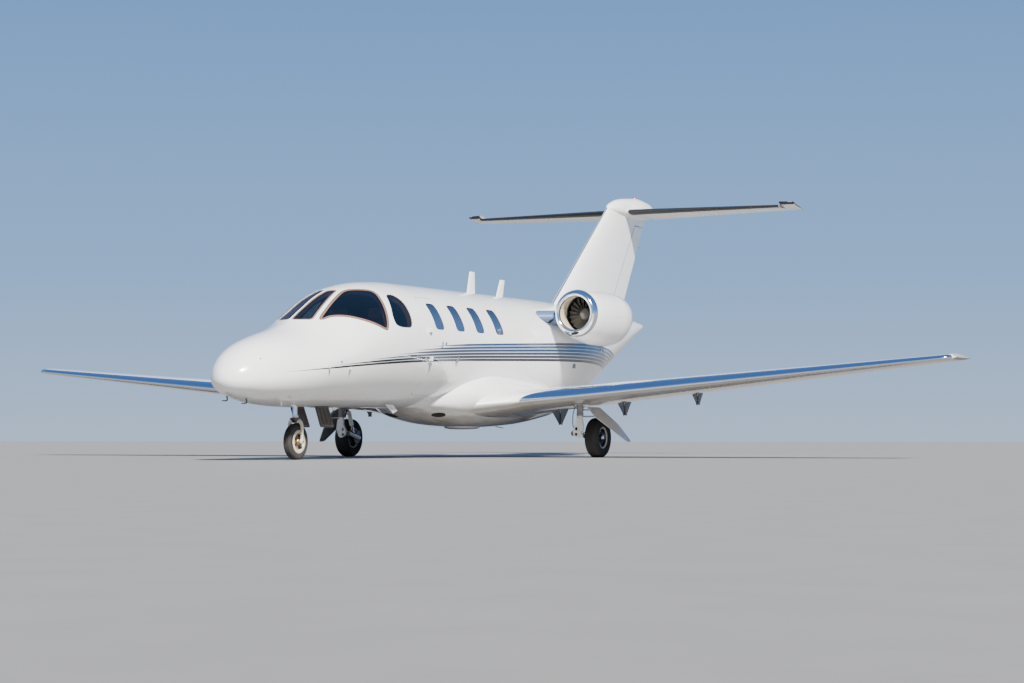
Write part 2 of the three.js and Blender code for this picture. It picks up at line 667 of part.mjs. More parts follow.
function addWings() {
  const place = flatwise(1);
  const keepOut = joined([fairing(TOUCH), hullSolid(4000, 8600, -TOUCH)]);
  const whole = foilSolid([...WING, ...WING_TIP], place).subtract(keepOut);
  const hinges = hingePlates(AILERON, place, [0.15, 0.85], 22);
  const flapCut = controlSpace(FLAP, place, CLEAR, FLAP_END_GAP);
  const aileronCut = controlSpace(AILERON, place, CLEAR);
  const brackets = flapBrackets();
  const wheelWell = joined([
    rod(at(6290, 1290, 0), at(6290, 1290, 790), 300, 20),
    box(at(6010, 1300, 0), at(6420, 1830, 790)),
    trunnionBay(),
  ]);
  const fixed = whole.subtract(flapCut).subtract(aileronCut).subtract(wheelWell);
  const wing = joined([fixed, hinges.plates, brackets.fixed]);
  const aileron = whole.intersect(controlSpace(AILERON, place)).subtract(hinges.slots);
  const flap = joined([whole.intersect(controlSpace(FLAP, place)), brackets.moving]);
  SIDES.forEach(([label, side]) => {
    addPart(`${label}_wing`, sided(wing, side), WHITE);
    addPart(`${label}_aileron`, sided(aileron, side), WHITE);
    addPart(`${label}_flap`, sided(flap, side), WHITE);
  });
}

// The three-cornered plates under the wing that carry the flap on a pivot below its nose.
function flapBrackets() {
  const [from, to] = FLAP_PIVOT.map(([y, station, level]) => at(station, y, level));
  const EYE = 24;
  const upright = (share, offset, outline) => {
    const flipped = outline.map(([forward, up]) => [forward, -up]);
    const solid = plate(flipped, BRACKET_THICK).translate(0, 0, offset);
    return solidOf(solid.applyMatrix4(hingeFrame(from, to, share)));
  };
  const rows = FLAP_BRACKETS.map((share) => ({
    share,
    rise: lerp(230, 172, share),
    front: lerp(340, 240, share),
    lip: lerp(172, 125, share),
    back: lerp(300, 200, share),
  }));
  const eye = (share, offset) => {
    const disc = new THREE.CylinderGeometry(EYE, EYE, BRACKET_THICK, 12).rotateX(Math.PI / 2);
    return solidOf(disc.translate(0, 0, offset).applyMatrix4(hingeFrame(from, to, share)));
  };
  const offset = (BRACKET_THICK + TOUCH) / 2;
  return {
    fixed: joined(rows.flatMap(({ share, rise, front, lip }) => [
      upright(share, -offset, [[8, -EYE + 2], [front, rise], [lip, rise], [-EYE + 6, 8]]),
      eye(share, -offset),
    ])),
    moving: joined(rows.flatMap(({ share, rise, back }) => [
      upright(share, offset, [[-8, -EYE + 2], [EYE - 6, 8], [20, rise], [-back, rise + 40]]),
      eye(share, offset),
    ])),
  };
}

function addTailSurfaces() {
  const keepOut = hullSolid(8000, 12250, -TOUCH);
  const bullet = (grow) => ovalSolid(BULLET, { grow, segments: 14 });
  const finWhole = foilSolid(FIN, upright, [1, 1]).subtract(keepOut);
  const rudderHinges = hingePlates(RUDDER, upright, [0.15, 0.85], 30);
  const fin = joined([finWhole.subtract(controlSpace(RUDDER, upright, CLEAR, RUDDER_END_GAP)), rudderHinges.plates]);
  addPart("fin", fin.subtract(bullet(TOUCH)), WHITE);
  const rudder = finWhole.intersect(controlSpace(RUDDER, upright)).subtract(rudderHinges.slots);
  addPart("rudder", rudder, WHITE);

  const place = flatwise(1);
  const half = foilSolid(STABILIZER, place, [1, 1]);
  const hinges = hingePlates(ELEVATOR, place, [0.15, 0.85], 20);
  const tipSpace = box(at(11000, HORN_GAP_Y, 3600), at(13000, 3000, 4200));
  const tipCut = box(at(11000, HORN_GAP_Y - CLEAR, 3600), at(13000, 3000, 4200));
  const fixedHalf = joined([
    half.subtract(controlSpace(ELEVATOR, place, CLEAR)).subtract(tipCut),
    hinges.plates,
  ]);
  const [inner, outer] = ELEVATOR.map(([y, station, level]) => at(station, y, level));
  const axis = outer.clone().sub(inner).normalize();
  const droop = new THREE.Matrix4().makeTranslation(inner.x, inner.y, inner.z)
    .multiply(new THREE.Matrix4().makeRotationAxis(axis, radians(-ELEVATOR_DROOP)))
    .multiply(new THREE.Matrix4().makeTranslation(-inner.x, -inner.y, -inner.z));
  const elevatorSpace = controlSpace(ELEVATOR, place).add(tipSpace);
  const elevator = moved(half.intersect(elevatorSpace).subtract(hinges.slots), droop);
  const { station, base, top, radius } = BEACON;
  const beacon = turnedUp([[0, base], [radius, base], [radius, top - 26], [radius * 0.72, top - 6], [0, top]],
    station, 0, 12);
  addPart("stabilizer", joined([fixedHalf, moved(fixedHalf, MIRROR), bullet(0), beacon]), WHITE);
  SIDES.forEach(([label, side]) => addPart(`${label}_elevator`, sided(elevator, side), WHITE));
}

// A wheel: the tyre is a rounded ring on the rim, and the rim has a hub with a bore for the axle.
function addWheel(prefix, { station, y, radius, width, rim }, outward, axle) {
  const half = width / 2;
  const shoulder = radius - rim;
  const tire = [
    [rim + TOUCH, -half * 0.72],
    [rim + shoulder * 0.45, -half],
    [rim + shoulder * 0.82, -half * 0.86],
    [radius, -half * 0.45],
    [radius, half * 0.45],
    [rim + shoulder * 0.82, half * 0.86],
    [rim + shoulder * 0.45, half],
    [rim + TOUCH, half * 0.72],
    [rim + TOUCH, -half * 0.72],
  ];
  addPart(`${prefix}_tire`, turnedAcross(tire, station, y, radius, WHEEL_SEGMENTS), RUBBER);
  const face = outward * half;
  const bore = axle / Math.cos(Math.PI / WHEEL_SEGMENTS) + TOUCH;
  const hub = [
    [bore, -face * 0.62],
    [rim - 14, -face * 0.62],
    [rim, -face * 0.74],
    [rim, face * 0.74],
    [rim - 14, face * 0.74],
    [rim - 26, face * 0.12],
    [axle + 32, face * 0.22],
    [axle + 18, face * 0.66],
    [bore, face * 0.66],
    [bore, -face * 0.62],
  ];
  addPart(`${prefix}_rim`, turnedAcross(hub, station, y, radius, WHEEL_SEGMENTS), CREAM);
}

// The recess in the wing's underside that takes the head of the main leg, seated on its walls.
function trunnionBay() {
  const { station, y } = MAIN_LEG;
  const [half, reach] = [TRUNNION.radius + TOUCH, TRUNNION.half + TOUCH];
  return box(at(station - reach, y - half, 0), at(station + reach, y + half, TRUNNION.level + half));
}

// Main gear: an upright leg with its door, a trailing link that carries the axle, and a shock strut.
function addMainGear() {
  const { station, y, radius, knuckle } = MAIN_LEG;
  const inboard = y - 68; // plane of the trailing link and the shock strut
  const BOSS = 40; // half length of the leg's knuckle
  const PIN = 20;
  const wheelCentre = (across) => at(MAIN.station, across, MAIN.radius);
  const knuckleAt = (across) => at(station, across, knuckle);
  const head = at(station + 100, inboard, TRUNNION.level - 120);
  const foot = at(MAIN.station - 150, inboard, MAIN.radius + 40);
  const alongShock = (share) => foot.clone().lerp(head, share);
  const CASE_END = 0.3;
  const leg = joined([
    rod(knuckleAt(y), at(station, y, TRUNNION.level), radius),
    rod(knuckleAt(y - BOSS), knuckleAt(y + BOSS), 46),
    rod(knuckleAt(y - BOSS + 8), knuckleAt(y - 110), PIN, 10),
    rod(at(station - TRUNNION.half, y, TRUNNION.level), at(station + TRUNNION.half, y, TRUNNION.level),
      TRUNNION.radius),
    rod(at(station, y, TRUNNION.level - 120), head, 26, 10),
    rod(head, alongShock(CASE_END), 32, 12),
    mainGearDoor(),
    ...[560, 650].map((level) => rod(at(station, y, level), at(station, MAIN_DOOR.y + 130, level), 12, 8)),
  ]);
  const link = joined([
    rod(knuckleAt(y - BOSS - TOUCH), knuckleAt(y - 100), 44),
    rod(knuckleAt(inboard), wheelCentre(inboard), 26, 10),
    rod(wheelCentre(inboard - 24), wheelCentre(MAIN.y + 74), AXLE, 12),
    rod(wheelCentre(y - 38), wheelCentre(y - 22), 92, 20),
    rod(foot, alongShock(CASE_END - TOUCH / foot.distanceTo(head)), 20, 10),
  ]).subtract(rod(knuckleAt(y), knuckleAt(y - 120), PIN + TOUCH, 10));
  SIDES.forEach(([label, side]) => {
    addPart(`${label}_main_strut`, sided(leg, side), WHITE);
    addPart(`${label}_main_link`, sided(link, side), STEEL);
    addWheel(`${label}_main`, { ...MAIN, y: side * MAIN.y }, side, AXLE);
  });
}

// The door hangs outboard of the wheel from two stays of the leg, its lower edge further out.
function mainGearDoor() {
  const outline = [[5860, 0], [6290, 0], [6410, 330], [6290, 600], [6120, 600], [5850, 180]];
  const panel = outline.map(([station, down]) => [NOSE_X - station, -down]);
  const sheet = { depth: 14, bevelEnabled: false, curveSegments: 2 };
  const geometry = new THREE.ExtrudeGeometry(roundedShape(panel, 40), sheet);
  geometry.rotateX(Math.PI / 2).rotateX(radians(MAIN_DOOR.slope));
  return solidOf(geometry.translate(0, MAIN_DOOR.y, MAIN_DOOR.level));
}

// The box in the belly that the nose leg hangs in, open below; grown, it is what the floor keeps clear of.
function noseBay(inset) {
  const { front, back, half, top } = NOSE_BAY;
  return box(at(front + inset, half - inset, inset ? 0 : 660), at(back - inset, inset - half, top - inset));
}

// Nose gear: a leg from the wheel bay, a steered fork on its foot, a drag brace and a pair of doors.
function addNoseGear() {
  const { station, radius, bottom } = NOSE_LEG;
  const trunnion = { level: NOSE_BAY.top - 60, half: NOSE_BAY.half - NOSE_BAY.wall - TOUCH };
  const bar = (place, size) =>
    rod(at(place, -trunnion.half, trunnion.level), at(place, trunnion.half, trunnion.level), size, 10);
  const leg = joined([
    rod(at(station, 0, bottom), at(station, 0, trunnion.level), radius),
    rod(at(station, 0, bottom + 40), at(station + 420, 0, trunnion.level), 24, 10),
    bar(station, 30),
    bar(station + 420, 22),
  ]);
  addPart("nose_gear_leg", leg, WHITE);

  const crown = 2 * NOSE.radius + 34; // level of the fork's crossbar, over the tyre
  const spread = NOSE.width / 2 + 28; // from the middle to each arm
  const hubAt = (across) => at(NOSE.station, across, NOSE.radius);
  const arm = (side) => joined([
    rod(at(station, 0, crown), at(station, side * (spread + 12), crown), 24),
    rod(at(station, side * spread, crown), hubAt(side * spread), 18, 10),
    rod(hubAt(side * (spread - 12)), hubAt(side * (spread + 16)), 30),
  ]);
  const fork = joined([
    rod(at(station, 0, crown), at(station, 0, bottom - TOUCH), 34),
    arm(1),
    arm(-1),
    rod(hubAt(-spread), hubAt(spread), NOSE_AXLE),
  ]);
  addPart("nose_gear_fork", fork, CREAM);
  addWheel("nose", NOSE, 1, NOSE_AXLE);

  const outline = [[1750, 670], [2070, 670], [2230, 400], [1890, 400]];
  const skin = hullSolid(1400, 2400, -TOUCH);
  SIDES.forEach(([label, side]) => {
    const door = across(outline, 5, side * (NOSE_BAY.half + 12), 30).subtract(skin);
    addPart(`${label}_nose_gear_door`, door, WHITE);
  });
}

// Inside: the floor, the instrument panel with its pedestal, and the seats.
function addInterior() {
  const inside = hullSolid(NOSE_JOINT - EDGE_IN, CABIN_JOINT - WALL - TOUCH, WALL + TOUCH);
  const floor = inside.intersect(box(at(1360, -800, FLOOR_TOP - FLOOR_THICK), at(6600, 800, FLOOR_TOP)));
  addPart("cabin_floor", floor, CARPET);

  const foot = FLOOR_TOP + TOUCH;
  const hood = across([[1500, 1580], [1960, 1610], [1990, 1570], [1920, 1250], [1840, 1250], [1500, 1500]], 800);
  const pedestal = across([[1840, 1300], [1930, 1300], [2150, 1150], [2150, foot], [1860, foot]], 130);
  addPart("instrument_panel", joined([pedestal, hood]).intersect(inside), BLACK);

  addPart("crew_seats", seatPair([2520, 2520], 290, 150), LEATHER);
  addPart("cabin_seats", cabinSeats(), LEATHER);
}

// A solid from a side view of stations and heights, as wide as twice the half width.
function across(outline, half, y = 0, rounding = 0) {
  const corners = outline.map(([station, z]) => [NOSE_X - station, z]);
  const geometry = new THREE.ExtrudeGeometry(roundedShape(corners, rounding),
    { depth: 2 * half, bevelEnabled: false, curveSegments: 3 });
  return solidOf(geometry.rotateX(Math.PI / 2).translate(0, y + half, 0));
}

// A seat in side view: it faces the nose when facing is 1. The seat pad's front edge is at the station.
function seat(station, y, facing) {
  const turned = (rows) => rows.map(([back, z]) => [station + facing * back, FLOOR_TOP + TOUCH + z]);
  const pad = turned([[0, 270], [0, 380], [50, 400], [440, 380], [560, 900], [600, 1010],
    [640, 1020], [670, 960], [560, 270]]);
  const base = turned([[110, 0], [140, 300], [440, 300], [470, 0]]);
  return joined([across(pad, 215, y), across(base, 150, y)]);
}

function seatPair([left, right], y, rail) {
  const strip = across([[left + rail, FLOOR_TOP + TOUCH], [left + rail, FLOOR_TOP + 25],
    [left + rail + 60, FLOOR_TOP + 25], [left + rail + 60, FLOOR_TOP + TOUCH]], y);
  return joined([seat(left, y, 1), seat(right, -y, 1), strip]);
}

// Four seats in a club: the first pair faces aft, the second pair faces the nose, joined by two rails.
function cabinSeats() {
  const AFT_FACING = 4820;
  const NOSE_FACING = 5200;
  const Y = 320;
  const track = (y) => across([[4300, FLOOR_TOP + TOUCH], [4300, FLOOR_TOP + 20], [5760, FLOOR_TOP + 20],
    [5760, FLOOR_TOP + TOUCH]], 18, y);
  const cross = across([[4960, FLOOR_TOP + TOUCH], [4960, FLOOR_TOP + 20], [5020, FLOOR_TOP + 20],
    [5020, FLOOR_TOP + TOUCH]], Y);
  const seats = [Y, -Y].flatMap((y) => [seat(AFT_FACING, y, -1), seat(NOSE_FACING, y, 1)]);
  return joined([...seats, track(Y), track(-Y), cross]);
}

function addFairing() {
  const dome = turnedUp([[0, 385], [180, 392], [260, 410], [260, 470], [0, 470]], 6000, 0, 24);
  const keepOut = hullSolid(4000, 8600, -TOUCH);
  const leftSide = box(at(4000, 0, 0), at(9000, 2000, 2000));
  const half = joined([fairing(0), dome]).subtract(keepOut).intersect(leftSide);
  addPart("belly_fairing", joined([half, moved(half, MIRROR)]), WHITE);
}

// A turned solid round an upright axis, from points of radius and height.
function turnedUp(profile, station, y, segments) {
  const points = profile.map(([radius, z]) => new THREE.Vector2(radius, z));
  const geometry = new THREE.LatheGeometry(points, segments).rotateX(Math.PI / 2);
  return solidOf(geometry.translate(NOSE_X - station, y, 0));
}

addFuselage();
addTail();
addAntenna("front_antenna", FRONT_ANTENNA);
addAntenna("rear_antenna", REAR_ANTENNA);
addFairing();
addEngines();
addWings();
addTailSurfaces();
addMainGear();
addNoseGear();
addInterior();

export default jet;
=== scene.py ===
# %% [markdown]
# # A light business jet, parked on its wheels
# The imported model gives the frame: every piece below rides on one of its bodies and stays in its box.
# Lengths are metres, +X points to the nose, +Y to the left wing tip, +Z up, and the ground is z = 0.
# Places along the fuselage are stations: metres aft of the nose tip.

import math

import bpy
import numpy as np
from mathutils import Matrix, Vector


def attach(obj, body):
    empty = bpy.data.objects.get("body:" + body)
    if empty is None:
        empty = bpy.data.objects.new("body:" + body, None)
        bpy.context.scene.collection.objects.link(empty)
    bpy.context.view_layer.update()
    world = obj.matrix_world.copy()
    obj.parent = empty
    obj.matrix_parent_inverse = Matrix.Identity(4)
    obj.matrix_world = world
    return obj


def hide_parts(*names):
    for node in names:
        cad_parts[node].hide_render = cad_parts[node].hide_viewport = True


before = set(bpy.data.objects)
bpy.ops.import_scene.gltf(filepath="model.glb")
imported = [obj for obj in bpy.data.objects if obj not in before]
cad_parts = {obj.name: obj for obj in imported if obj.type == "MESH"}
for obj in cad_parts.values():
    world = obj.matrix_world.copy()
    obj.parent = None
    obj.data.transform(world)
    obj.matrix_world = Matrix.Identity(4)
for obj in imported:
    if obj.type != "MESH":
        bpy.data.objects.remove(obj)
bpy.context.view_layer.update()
NOSE_X = 6.49

# %% [markdown]
# ## The camera
# It stands low on the apron, ahead of the left wing, and looks slightly up with a short telephoto lens,
# so the fuselage is seen three quarters from the front and the far wing runs off level to the left.

# %% Camera
IMAGE_WIDTH, LENS_IN_PIXELS = 1024, 2327.8
AZIMUTH, PITCH = math.radians(206.464), math.radians(2.368)


def aim(obj, along):
    """Adds a camera or a lamp to the scene, looking along a vector."""
    obj.rotation_euler = Vector(along).to_track_quat("-Z", "Y").to_euler()
    bpy.context.scene.collection.objects.link(obj)


camera = bpy.data.objects.new("camera", bpy.data.cameras.new("camera"))
camera.data.sensor_width = 36.0
camera.data.lens = LENS_IN_PIXELS * camera.data.sensor_width / IMAGE_WIDTH
camera.data.clip_end = 500.0
camera.location = (29.388, 15.171, 0.271)
aim(camera, (math.cos(AZIMUTH) * math.cos(PITCH), math.sin(AZIMUTH) * math.cos(PITCH), math.sin(PITCH)))
bpy.context.scene.camera = camera
print("lens", round(camera.data.lens, 2), "mm")

# %% [markdown]
# ## Surfaces from arrays
# Almost every piece is a row of rings: a fuselage section, a wing section, a turned profile. One helper
# joins neighbouring rings with four-sided faces and closes the ends, and another turns the faces
# outwards by the sign of the volume that they enclose.

# %% Rings to closed skins
def floats(*values):
    """Each value as an array of floats."""
    return [np.asarray(value, float) for value in values]


def unit(vectors):
    """v / |v| for each row."""
    vectors = np.asarray(vectors, float)
    return vectors / np.maximum(np.linalg.norm(vectors, axis=-1, keepdims=True), 1e-12)


def full_turn(count):
    """Equal angles once round, from 0."""
    return np.arange(count) * 2 * np.pi / count


def outward(points, faces):
    """Turns every face round if the volume, the sum of a . (b x c) / 6 over the triangles, is negative."""
    total = 0.0
    for block in faces:
        for k in range(1, block.shape[1] - 1):
            a, b, c = points[block[:, 0]], points[block[:, k]], points[block[:, k + 1]]
            total += np.einsum("ij,ij->", a, np.cross(b, c))
    return points, [block if total > 0 else block[:, ::-1] for block in faces]


def tube(rings, loop=False, tips=(None, None)):
    """Skin through rings[i, j]: faces (i, j), (i, j + 1), (i + 1, j + 1), (i + 1, j), closed round j.
    With loop it closes along i too; without, a fan to the end's tip or middle closes each end."""
    rings = np.asarray(rings, float)
    n, m = rings.shape[:2]
    i, j = np.arange(n if loop else n - 1)[:, None], np.arange(m)[None]
    after_i, after_j = (i + 1) % n, (j + 1) % m
    quads = np.stack([i * m + j, i * m + after_j, after_i * m + after_j, after_i * m + j], -1).reshape(-1, 4)
    points = rings.reshape(-1, 3)
    if loop:
        return outward(points, [quads])
    fans = []
    for end, first in enumerate((0, (n - 1) * m)):
        tip = rings[-end].mean(0) if tips[end] is None else np.asarray(tips[end], float)
        points = np.vstack([points, tip])
        edge = first + np.arange(m)
        pair = [np.roll(edge, -1), edge] if end == 0 else [edge, np.roll(edge, -1)]
        fans.append(np.stack([*pair, np.full(m, len(points) - 1)], 1))
    return outward(points, [quads, *fans])


def place(station, y, z):
    """The point (NOSE_X - station, y, z)."""
    return np.stack(np.broadcast_arrays(NOSE_X - np.asarray(station, float), y, z), -1)


def mirrored(skin):
    """The same skin on the other side: y becomes -y and each face is turned round."""
    points, faces = skin
    return points * [1, -1, 1], [block[:, ::-1] for block in faces]


def sided(skin, side):
    return skin if side > 0 else mirrored(skin)


# %% Skins to objects
SHARP_ANGLE = 32.0


def mesh_object(name, skins):
    """One mesh from several closed skins; face k of skin i keeps material index i."""
    points, faces, index, base = [], [], [], 0
    for number, (own, blocks) in enumerate(skins):
        points.append(own)
        for block in blocks:
            faces += (block + base).tolist()
            index += [number] * len(block)
        base += len(own)
    mesh = bpy.data.meshes.new(name)
    mesh.from_pydata(np.vstack(points).tolist(), [], faces)
    mesh.polygons.foreach_set("material_index", np.array(index, np.int32))
    mesh.update()
    obj = bpy.data.objects.new(name, mesh)
    bpy.context.scene.collection.objects.link(obj)
    return obj


def read(collection, key, width=1, kind=np.float64):
    """One property of every vertex, corner or face as an array, `width` numbers to a row."""
    values = np.zeros(len(collection) * width, kind)
    collection.foreach_get(key, values)
    return values.reshape(-1, width) if width > 1 else values


def finish_faces(obj, finishes, index=0):
    """Face i takes finishes[index[i]], or the first one without an index."""
    obj.data.materials.clear()
    for finish in finishes:
        obj.data.materials.append(finish)
    index = np.broadcast_to(index, len(obj.data.polygons)).astype(np.int32)
    obj.data.polygons.foreach_set("material_index", index)


def smooth(obj, sharp=SHARP_ANGLE):
    """Smooth shading, with a hard edge wherever two faces meet at more than the angle in degrees."""
    obj.data.polygons.foreach_set("use_smooth", np.ones(len(obj.data.polygons), bool))
    obj.data.set_sharp_from_angle(angle=math.radians(sharp))


def settle(obj, name, body, stands_for=None):
    """Names a piece, puts it on its body, and hides the CAD node that it stands for."""
    obj.name = name
    obj.data.name = name
    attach(obj, body)
    if stands_for:
        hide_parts(stands_for)
    return obj


def piece(name, body, parts, stands_for=None, sharp=SHARP_ANGLE):
    """A finished piece: parts is a list of (skin, finish)."""
    finishes = list(dict.fromkeys(finish for _, finish in parts))
    obj = mesh_object(name, [skin for skin, _ in parts])
    order = np.array([finishes.index(finish) for _, finish in parts])
    finish_faces(obj, finishes, order[read(obj.data.polygons, "material_index", 1, np.int32)])
    smooth(obj, sharp)
    return settle(obj, name, body, stands_for)


# %% [markdown]
# ## Cutting, and keeping the shine
# Windows, doors and control surfaces are cut out with Booleans. A cut leaves long thin faces round its
# edge, and shading worked out from those would ripple in gloss paint. So after a cut the true surface
# gives the normals: a shape is also a field F that is zero on it, and its normal is F's gradient.

# %% Booleans and normals from fields
def carve(obj, *tools, operation="DIFFERENCE"):
    """Takes each tool skin from the object, or keeps what they share, with the Manifold solver."""
    for tool in tools:
        cutter = tool if isinstance(tool, bpy.types.Object) else mesh_object("cutter", [tool])
        cut = obj.modifiers.new("cut", "BOOLEAN")
        cut.operation = operation
        cut.solver = "MANIFOLD"
        cut.object = cutter
        bpy.context.view_layer.update()
        graph = bpy.context.evaluated_depsgraph_get()
        mesh = bpy.data.meshes.new_from_object(obj.evaluated_get(graph))
        obj.modifiers.remove(cut)
        obj.data = mesh
        bpy.data.objects.remove(cutter)


def true_normals(obj, *fields, reach=0.0012, step=2e-4, agreement=0.8):
    """Corner normals from fields. For a field F the normal is g / |g| with g = grad F by central
    differences, and |F| / |g| is the distance from its surface. It holds within `reach` of the surface,
    where the face's own normal agrees. Returns which faces lie on which field."""
    smooth(obj)
    mesh = obj.data
    points = read(mesh.vertices, "co", 3)
    start = read(mesh.polygons, "loop_start", 1, np.int32)
    count = read(mesh.polygons, "loop_total", 1, np.int32)
    corner = read(mesh.loops, "vertex_index", 1, np.int32)
    facing = read(mesh.polygon_normals, "vector", 3)
    normals = read(mesh.corner_normals, "vector", 3)
    face = np.repeat(np.arange(len(start)), count)
    owner = np.full(len(start), -1)
    for number, field in enumerate(fields):
        gradient = np.stack([field(points + e) - field(points - e) for e in step * np.eye(3)], -1) / (2 * step)
        size = np.maximum(np.linalg.norm(gradient, axis=1), 1e-9)
        near = np.abs(field(points)) / size < reach
        direction = gradient / size[:, None]
        agree = np.einsum("ij,ij->i", facing[face], direction[corner])
        good = near[corner] & (np.abs(agree) > agreement)
        whole = np.logical_and.reduceat(good, start) & (owner < 0)
        use = whole[face]
        normals[use] = (direction[corner] * np.sign(agree)[:, None])[use]
        owner[whole] = number
    mesh.normals_split_custom_set(normals.tolist())
    return owner


def middles(obj):
    return read(obj.data.polygons, "center", 3)


# %% [markdown]
# ## Shader sums as plain arithmetic
# A finish is a handful of masks and mixes. `Signal` wraps a node's output so that `a * b + 0.2` adds the
# Math nodes by itself. `Nodes` makes every other node from a single method, for the sky as for a
# material, and `Finish` is the `Nodes` of one material.

# %% Signals and finishes
class Signal:
    """A number or colour that varies over a surface. Arithmetic on it adds Math nodes."""

    def __init__(self, nodes, socket):
        self.nodes, self.socket = nodes, socket

    def math(self, operation, *others, clamp=False):
        return self.nodes.math(operation, self, *others, clamp=clamp)

    def __add__(self, other): return self.math("ADD", other)
    def __radd__(self, other): return self.math("ADD", other)
    def __sub__(self, other): return self.math("SUBTRACT", other)
    def __rsub__(self, other): return self.nodes.math("SUBTRACT", other, self)
    def __mul__(self, other): return self.math("MULTIPLY", other)
    def __rmul__(self, other): return self.math("MULTIPLY", other)
    def __truediv__(self, other): return self.math("DIVIDE", other)
    def __rtruediv__(self, other): return self.nodes.math("DIVIDE", other, self)
    def __pow__(self, other): return self.math("POWER", other)
    def __rpow__(self, other): return self.nodes.math("POWER", other, self)
    def __abs__(self): return self.math("ABSOLUTE")

    def low(self, other): return self.math("MINIMUM", other)
    def high(self, other): return self.math("MAXIMUM", other)
    def unit(self): return self.math("ADD", 0.0, clamp=True)
    def rounded(self): return self.math("ROUND")
    def ceiling(self): return self.math("CEIL")
    def part(self): return self.math("FRACT")

    def above(self, level, soft=0.001):
        """0 below level - soft / 2, 1 above level + soft / 2, straight between."""
        return ((self - level) / soft + 0.5).unit()

    def below(self, level, soft=0.001): return 1.0 - self.above(level, soft)
    def between(self, low, high, soft=0.001): return self.above(low, soft) * self.below(high, soft)

    def polynomial(self, coefficients):
        """Horner's rule, highest power first."""
        total = self * float(coefficients[0]) + float(coefficients[1])
        for coefficient in coefficients[2:]:
            total = total * self + float(coefficient)
        return total


class Nodes:
    """A node tree, filled in by plain expressions."""

    def __init__(self, tree):
        self.tree = tree

    def node(self, kind, settings=None, inputs=None, output=0):
        """A new node: its settings first, a ramp's stops among them, then its sockets' values or links."""
        node = self.tree.nodes.new(kind)
        for key, value in (settings or {}).items():
            if key == "stops":
                self.set_stops(node.color_ramp.elements, value)
            else:
                setattr(node, key, value)
        for key, value in (inputs or {}).items():
            self.feed(node.inputs[key], value)
        return Signal(self, node.outputs[output])

    def set_stops(self, elements, stops):
        """A new ramp has two elements; the stops after those are added."""
        for k, (position, tone) in enumerate(stops):
            element = elements[k] if k < 2 else elements.new(position)
            element.position, element.color = position, (*tone, 1.0)

    def feed(self, socket, value):
        if isinstance(value, Signal):
            self.tree.links.new(value.socket, socket)
        else:
            socket.default_value = value

    def math(self, operation, *values, clamp=False):
        settings = {"operation": operation, "use_clamp": clamp}
        return self.node("ShaderNodeMath", settings, dict(enumerate(values)))

    def axes(self, kind="Object"):
        """The point's coordinates as three numbers."""
        where = self.node("ShaderNodeTexCoord", output=kind)
        return [self.node("ShaderNodeSeparateXYZ", inputs={0: where}, output=k) for k in range(3)]

    def mix(self, mask, a, b):
        """Colour a where the mask is 0 and b where it is 1."""
        a, b = (v if isinstance(v, Signal) else (*v, 1.0) for v in (a, b))
        return self.node("ShaderNodeMix", {"data_type": "RGBA"}, {0: mask, 6: a, 7: b}, output=2)


class Finish(Nodes):
    """A material with a Principled BSDF."""

    def __init__(self, name, color, **sockets):
        self.material = bpy.data.materials.new(name)
        self.material.use_nodes = True
        super().__init__(self.material.node_tree)
        self.shader = self.tree.nodes["Principled BSDF"]
        self.set("Base Color", (*color, 1.0))
        for key, value in sockets.items():
            self.set(key.replace("_", " ").title(), value)

    def set(self, key, value):
        self.feed(self.shader.inputs[key], value)
        return self

    def noise(self, scale, detail=3.0, rough=0.5, stretch=(1.0, 1.0, 1.0)):
        where = self.node("ShaderNodeTexCoord", output="Object")
        where = self.node("ShaderNodeMapping", inputs={"Vector": where, "Scale": stretch})
        settings = {"Vector": where, "Scale": scale, "Detail": detail, "Roughness": rough}
        return self.node("ShaderNodeTexNoise", inputs=settings)

    def bump(self, height, depth):
        """A height in metres, times depth, as a bump."""
        settings = {"Height": height, "Distance": depth, "Strength": 1.0}
        return self.set("Normal", self.node("ShaderNodeBump", inputs=settings))


# %% [markdown]
# ## Floor and light
# A plain pale floor, a soft sky from pale at the horizon to blue overhead, and one broad soft lamp high
# on the camera's side. White gloss paint shows its form only by what it reflects, so the sky has a
# slow change of tone and nothing else. It lights dull surfaces with a greyer tone, as broken cloud does.

# %% Floor, sky and lamp
FLOOR_HALF, FLOOR_DEEP = 120.0, 0.12
DARK_FLOOR, PALE_FLOOR = (0.185, 0.182, 0.18), (0.230, 0.227, 0.225)
floor_finish = Finish("pale_floor", PALE_FLOOR, roughness=0.62)
floor_finish.set("Base Color", floor_finish.mix(floor_finish.noise(3.0, 6.0, 0.6), DARK_FLOOR, PALE_FLOOR))
floor_top = FLOOR_HALF * np.array([[-1, -1, 0], [1, -1, 0], [1, 1, 0], [-1, 1, 0]])
studio_floor = mesh_object("studio_floor", [tube(np.stack([floor_top - [0, 0, FLOOR_DEEP], floor_top]))])
studio_floor.data.materials.append(floor_finish.material)

